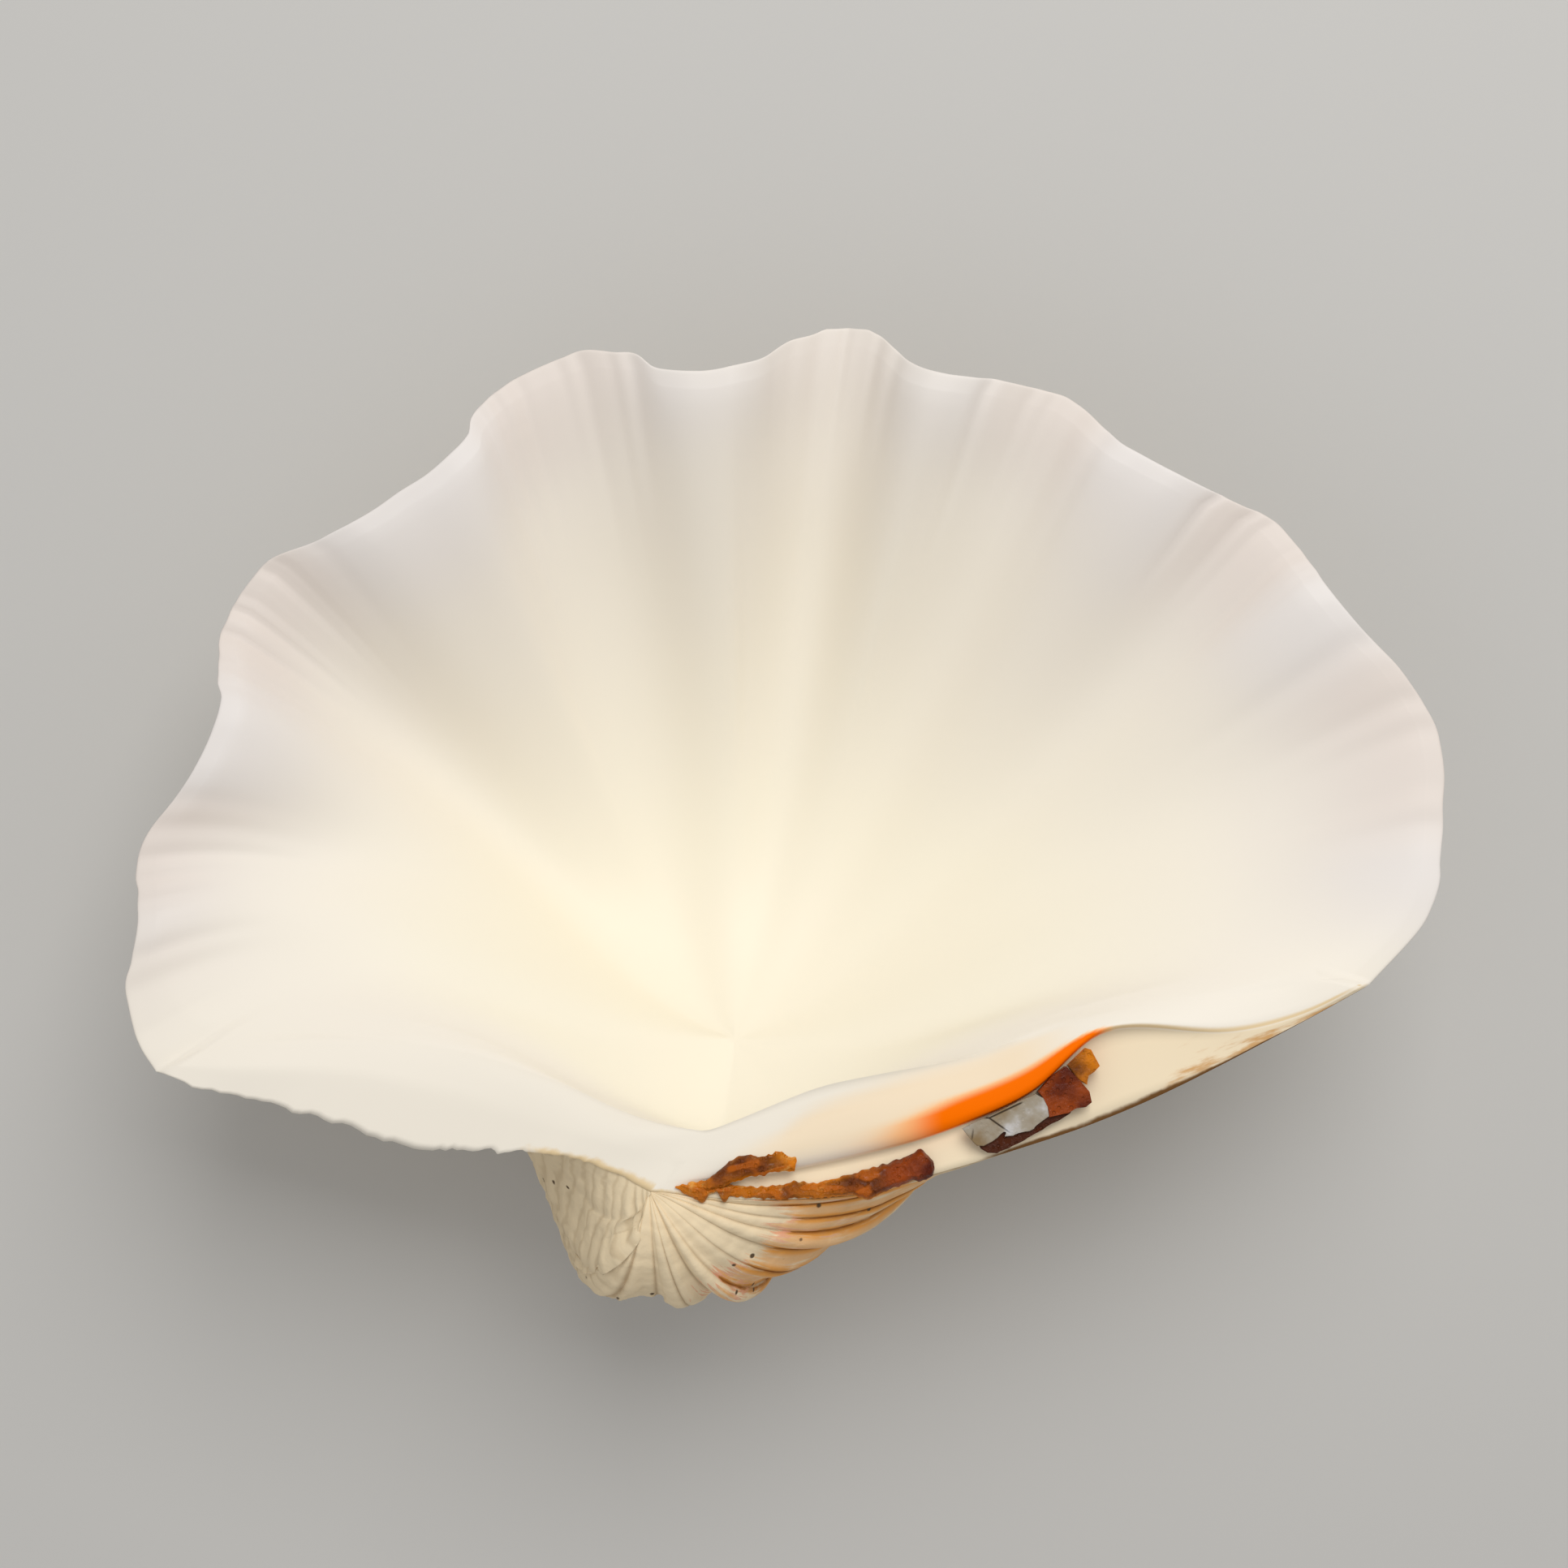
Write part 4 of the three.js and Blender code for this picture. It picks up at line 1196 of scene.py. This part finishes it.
def plate_colour(tree, under):
    """The hinge plate: cool grey partly as painted shade, cream on the tooth, the orange band and its
    peach border.
    """
    along, plate, orange = (read(tree, name) for name in ("along", "plate", "orange"))
    # the plate's cool grey near the beak is partly painted shade, beside the V edge and on the tooth's
    # flank
    grey = product(tree, plate, window(tree, along, *GREY_SHADE_ALONG))
    painted = paint(tree, grey, under, PLATE_GREY_AND_SHADE)
    painted = paint(tree, read(tree, "cream"), painted, CREAM)
    painted = paint(tree, span(tree, orange, *PEACH_SPAN), painted, PEACH)
    return paint(tree, span(tree, orange, *ORANGE_SPAN), painted, ORANGE)


def ledge_colour(tree, place, under):
    """The ligament's ledge: cream, rusty streaks along it, and stained edges."""
    along, across, plate = (read(tree, name) for name in ("along", "across", "plate"))
    ledge = read(tree, "ledge")
    painted = paint(tree, ledge, under, LEDGE_CREAM)
    stretched = add(tree, "ShaderNodeMapping", {
        "Vector": place, "Rotation": (0, 0, LEDGE_HEADING), "Scale": LEDGE_STRETCH}, vector_type="TEXTURE")
    far_end = window(tree, along, *RUST_ALONG)
    rusty = product(tree, ledge, far_end, span(tree, across, *RUST_ACROSS), RUST_MASK)
    streaks = broken(tree, stretched.outputs["Vector"], rusty, *RUST_PATCHES)
    painted = paint(tree, product(tree, streaks, RUST_COVER), painted, RUST)
    outer_edge = product(tree, ledge, span(tree, across, *BROWN_ACROSS), span(tree, along, *BROWN_ALONG))
    painted = paint(tree, broken(tree, place, outer_edge, *BROWN_PATCHES), painted, EDGE_BROWN)
    on_step = window(tree, across, *STEP_LINE_ACROSS)
    step_line = product(tree, plate, window(tree, along, *STEP_LINE_ALONG), on_step, STEP_LINE_COVER)
    painted = paint(tree, step_line, painted, EDGE_YELLOW)
    by_beak = window(tree, along, *YELLOW_ALONG)
    beak_edge = product(tree, plate, by_beak, span(tree, across, *YELLOW_ACROSS), YELLOW_MASK)
    yellowed = broken(tree, place, beak_edge, *YELLOW_PATCHES)
    return paint(tree, product(tree, yellowed, YELLOW_COVER), painted, EDGE_YELLOW)


def outside_colour(tree, place, lines, pit_mask):
    """Chalk with mottling, growth lines, rusty stains a little way off the beak's tip, and pits."""
    growth, turned, rib, front = (read(tree, name) for name in ("growth", "turned", "rib", "front"))
    mottle = broken(tree, place, MOTTLE_MASK, *MOTTLE_PATCHES)
    painted = paint(tree, product(tree, mottle, MOTTLE_COVER), CHALK, CHALK_GREY)
    painted = paint(tree, product(tree, front, FRONT_COVER), painted, CHALK_GREY)
    groove = product(tree, span(tree, rib, *GROOVE_RIB), span(tree, growth, *GROOVE_GROWTH))
    painted = paint(tree, product(tree, groove, GROOVE_COVER), painted, GROOVE)
    by_tip = window(tree, growth, *OCHRE_GROWTH)
    old = product(tree, by_tip, span(tree, turned, *OCHRE_TURN), OCHRE_MASK)
    streaked = add(tree, "ShaderNodeCombineXYZ", {
        0: product(tree, growth, STREAK_ALONG), 1: product(tree, turned, STREAK_ACROSS)})
    rusty = broken(tree, streaked.outputs[0], old, *OCHRE_PATCHES)
    painted = paint(tree, product(tree, rusty, span(tree, rib, *OCHRE_RIB, *OCHRE_COVER)), painted, OCHRE)
    painted = paint(tree, product(tree, rusty, groove), painted, RUST_GROOVE)
    border = product(tree, window(tree, rusty, *ROSY_EDGE), window(tree, growth, *ROSY_GROWTH), ROSY_MASK)
    rosy = broken(tree, place, border, *ROSY_PATCHES)
    painted = paint(tree, product(tree, rosy, ROSY_COVER), painted, ROSE_SPOT)
    shaded = product(tree, lines, span(tree, front, 0.0, 1.0, *LINE_COVER))
    painted = paint(tree, shaded, painted, LINE_SHADE)
    return paint(tree, pit_mask, painted, PIT)


print("shell colours ready")

# %% [markdown]
# ## Put the shell material together
#
# The masks meet in one Principled shader. Chalk is rough and porcelain is satin, so roughness
# follows the same mask as the colour. Heights go through Bump nodes only for what is too fine to
# be geometry: growth lines under half a millimetre, pits, and the grain of the chalk.

# %% Shell material
ROUGH_INSIDE, ROUGH_OUTSIDE, ROUGH_LEDGE = (0.42, 0.52), 0.85, 0.55
SATIN_NOISE, SATIN_FROM, GLOSS_FROM = (14.0, 3.0), (0.3, 0.7), (0.1, 0.7)
GRAIN_NOISE, GRAIN_HEIGHT, LINE_HEIGHT, LINE_HOLLOWS = (420.0, 4.0), 0.6, 0.8, (0.25, -0.2)
LINE_COUNT, LINE_WAVER = 34.0, 3.2
SHELL_GLOSS, ORANGE_GLOSS, CHALK_BUMP, CHALK_BUMP_DEPTH = 0.16, 0.02, 0.6, 0.0006
SHELL_PITS = {"Scale": 240.0, "Size": 0.2, "Share": 0.14}


def shell_material():
    """Porcelain, chalk and stains in one material."""
    material = bpy.data.materials.new("porcelain_and_chalk")
    material.use_nodes = True
    tree = material.node_tree
    shader = tree.nodes["Principled BSDF"]
    place, outer, growth = where_on_object(tree), read(tree, "outside"), read(tree, "growth")
    lines = place_group(tree, fine_lines, {
        "Vector": place, "Along": growth, "Count": LINE_COUNT, "Waver": LINE_WAVER}).outputs["Height"]
    pit_mask = place_group(tree, pits, {"Vector": place, **SHELL_PITS}).outputs["Mask"]
    inner = ledge_colour(tree, place, plate_colour(tree, inside_colour(tree, place)))
    chalk = outside_colour(tree, place, span(tree, lines, *LINE_HOLLOWS), pit_mask)
    tree.links.new(paint(tree, outer, inner, chalk), shader.inputs["Base Color"])
    soft = noise_in(tree, place, *SATIN_NOISE)
    satin = span(tree, soft, *SATIN_FROM, *ROUGH_INSIDE)
    satin = add(tree, "ShaderNodeMix", {0: read(tree, "ledge"), 2: satin, 3: ROUGH_LEDGE}).outputs[0]
    rough = add(tree, "ShaderNodeMix", {0: outer, 2: satin, 3: ROUGH_OUTSIDE}).outputs[0]
    tree.links.new(rough, shader.inputs["Roughness"])
    gloss = span(tree, read(tree, "orange"), *GLOSS_FROM, SHELL_GLOSS, ORANGE_GLOSS)
    tree.links.new(gloss, shader.inputs["Specular IOR Level"])
    grain = noise_in(tree, place, *GRAIN_NOISE)
    carved = maths(tree, "SUBTRACT", product(tree, lines, LINE_HEIGHT), pit_mask)
    height = product(tree, maths(tree, "ADD", carved, product(tree, grain, GRAIN_HEIGHT)), outer)
    bump = add(tree, "ShaderNodeBump", {
        "Height": height, "Strength": CHALK_BUMP, "Distance": CHALK_BUMP_DEPTH})
    tree.links.new(bump.outputs["Normal"], shader.inputs["Normal"])
    return material


valve.data.materials.append(shell_material())
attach(valve, "root")
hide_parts("shell_valve")
print("shell material:", len(valve.data.materials[0].node_tree.nodes), "nodes")

# %% [markdown]
# ## The ligament's finish
#
# Dried ligament looks like old varnish: red-brown in the broken faces and amber where it is thin.
# Its brown flakes are painted nearly black in the lower layers, as shade in the gaps between them,
# and the block's body is nearly black too. The sheet on the block is a silvery skin with a few
# cracks; its greys are partly its own colour and partly painted sheen, and its whitest patches are
# a painted highlight. One material serves all three scraps, because the numbers on their vertices
# say which is which.

# %% Ligament material
# the darkest brown is the block's body and painted shade in the gaps between flakes
DARK_AND_GAP_SHADE, BROWN, REST_AMBER = colour(72, 28, 2), colour(174, 86, 4), colour(236, 136, 10)
RED_DARK, RED_BROWN, FLECK = colour(84, 24, 2), colour(148, 62, 6), colour(226, 180, 100)
# the silver skin's greys are partly its own colour and partly painted sheen; its near-white is a painted
# highlight
SILVER, SILVER_TAN, SILVER_PAINTED_HIGHLIGHT, CRACK = (
    colour(164, 154, 138), colour(134, 112, 80), colour(222, 222, 226), colour(52, 36, 20))
LIGAMENT_GLOSS, LIGAMENT_ROUGH, LIGAMENT_BUMP, LIGAMENT_BUMP_DEPTH = 0.2, (0.25, 0.5), 0.7, 0.0005
LIGAMENT_PITS = {"Scale": 700.0, "Size": 0.4, "Share": 0.4}
CRACK_SCALE, CRACK_WIDTH, CRACK_NOISE, CRACK_FROM = 110.0, (0.035, 0.0), 130.0, (0.5, 0.6)
TORN_MASK, TORN_PATCHES, CLOUD_NOISE = 0.45, (300.0, 0.6), (110.0, 4.0)
BROWN_FLAKE, BROWN_TORN, BROWN_COVER = (0.2, 0.8), (0.1, 0.5), 0.7
AMBER_CLOUD, AMBER_COVER = (0.3, 0.65), 0.85
FLECK_FLAKE, FLECK_MASK, FLECK_PATCHES, FLECK_COVER = (0.2, 0.5), 0.42, (420.0, 0.7), 0.6
RED_CLOUD, SILVER_CLOUD, HIGHLIGHT_CLOUD, SILVER_BUMP = (0.35, 0.65), (0.35, 0.6), (0.55, 0.75), 0.25


def cracks_in(tree, place):
    """Thin cracks, kept to a few places."""
    inputs = {"Vector": place, "Scale": CRACK_SCALE}
    cells = add(tree, "ShaderNodeTexVoronoi", inputs, feature="DISTANCE_TO_EDGE")
    where = span(tree, noise_in(tree, place, CRACK_NOISE), *CRACK_FROM)
    return product(tree, span(tree, cells.outputs["Distance"], *CRACK_WIDTH), where)


def ligament_material():
    """Flaking brown ligament: painted shade in its gaps, amber where thin, red breaks, silvery skin."""
    material = bpy.data.materials.new("dried_ligament")
    material.use_nodes = True
    tree = material.node_tree
    shader = tree.nodes["Principled BSDF"]
    place, flake = where_on_object(tree), read(tree, "flake")
    red, amber, silver = (read(tree, name) for name in ("red", "amber", "silver"))
    torn = broken(tree, place, TORN_MASK, *TORN_PATCHES)
    cloud = noise_in(tree, place, *CLOUD_NOISE)
    # the lower flake layers are painted nearly black as shade in the gaps; the block's body, with no
    # flakes, takes it too
    painted = paint(tree, span(tree, flake, *BROWN_FLAKE), DARK_AND_GAP_SHADE, BROWN)
    lifted = product(tree, torn, span(tree, flake, *BROWN_TORN), BROWN_COVER)
    painted = paint(tree, lifted, painted, BROWN)
    thin = product(tree, span(tree, cloud, *AMBER_CLOUD), AMBER_COVER)
    painted = paint(tree, product(tree, amber, thin), painted, REST_AMBER)
    pale = product(tree, amber, span(tree, flake, *FLECK_FLAKE), FLECK_MASK)
    flecks = broken(tree, place, pale, *FLECK_PATCHES)
    painted = paint(tree, product(tree, flecks, FLECK_COVER), painted, FLECK)
    painted = paint(tree, red, painted, paint(tree, span(tree, cloud, *RED_CLOUD), RED_DARK, RED_BROWN))
    crack = product(tree, cracks_in(tree, place), silver)
    # painted sheen and highlight: the skin goes from tan through grey to near-white with a cloud of noise
    skin = paint(tree, span(tree, cloud, *SILVER_CLOUD), SILVER_TAN, SILVER)
    skin = paint(tree, span(tree, cloud, *HIGHLIGHT_CLOUD), skin, SILVER_PAINTED_HIGHLIGHT)
    painted = paint(tree, silver, painted, skin)
    tree.links.new(paint(tree, crack, painted, CRACK), shader.inputs["Base Color"])
    tree.links.new(span(tree, torn, 0.0, 1.0, *LIGAMENT_ROUGH), shader.inputs["Roughness"])
    shader.inputs["Specular IOR Level"].default_value = LIGAMENT_GLOSS
    specks = place_group(tree, pits, {"Vector": place, **LIGAMENT_PITS}).outputs["Mask"]
    smoother = span(tree, silver, 0.0, 1.0, 1.0, SILVER_BUMP)
    rough = product(tree, maths(tree, "SUBTRACT", torn, specks), smoother)
    height = maths(tree, "SUBTRACT", rough, crack)
    bump = add(tree, "ShaderNodeBump", {
        "Height": height, "Strength": LIGAMENT_BUMP, "Distance": LIGAMENT_BUMP_DEPTH})
    tree.links.new(bump.outputs["Normal"], shader.inputs["Normal"])
    return material


ligament_finish = ligament_material()
for node, scrap in scraps.items():
    scrap.data.materials.append(ligament_finish)
    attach(scrap, "root")
    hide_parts(node)
print("ligament material:", len(ligament_finish.node_tree.nodes), "nodes")

# %% [markdown]
# ## Floor and light
#
# A plain pale floor lets the white margin stand out. One large soft light beyond the margin, a
# little to the right, models the folds, and a weak fill on the hinge's side keeps the shade open.

# %% Stage
FLOOR_SIZE, FLOOR_ROUGH = 6.0, 0.8
FLOOR_GREY = colour(196, 194, 190)
# name, place, size, power
LIGHTS = [
    ("key_above", (0.25, 0.75, 1.2), 0.9, 12.4),
    ("fill_by_hinge", (-0.75, -0.7, 1.1), 1.4, 2.2),
]
SKY_STRENGTH = 0.44

floor_mesh = bpy.data.meshes.new("floor")
half = FLOOR_SIZE / 2
corners = [(-half, -half, 0), (half, -half, 0), (half, half, 0), (-half, half, 0)]
floor_mesh.from_pydata(corners, [], [(0, 1, 2, 3)])
floor = bpy.data.objects.new("floor", floor_mesh)
bpy.context.scene.collection.objects.link(floor)
floor_paint = bpy.data.materials.new("pale_floor")
floor_paint.use_nodes = True
floor_shader = floor_paint.node_tree.nodes["Principled BSDF"]
floor_shader.inputs["Base Color"].default_value = FLOOR_GREY
floor_shader.inputs["Roughness"].default_value = FLOOR_ROUGH
floor.data.materials.append(floor_paint)


def soft_light(name, place, size, power, aim=(0, 0, 0.05)):
    """A square area light aimed at the shell."""
    data = bpy.data.lights.new(name, "AREA")
    data.size = size
    data.energy = power
    lamp = bpy.data.objects.new(name, data)
    lamp.location = place
    lamp.rotation_euler = (Vector(aim) - Vector(place)).to_track_quat("-Z", "Y").to_euler()
    bpy.context.scene.collection.objects.link(lamp)


for light in LIGHTS:
    soft_light(*light)
world = bpy.data.worlds.new("studio")
world.use_nodes = True
sky = world.node_tree.nodes["Background"]
sky.inputs["Color"].default_value = (1.0, 1.0, 1.0, 1.0)
sky.inputs["Strength"].default_value = SKY_STRENGTH
bpy.context.scene.world = world
bpy.context.scene.view_settings.view_transform = "Standard"
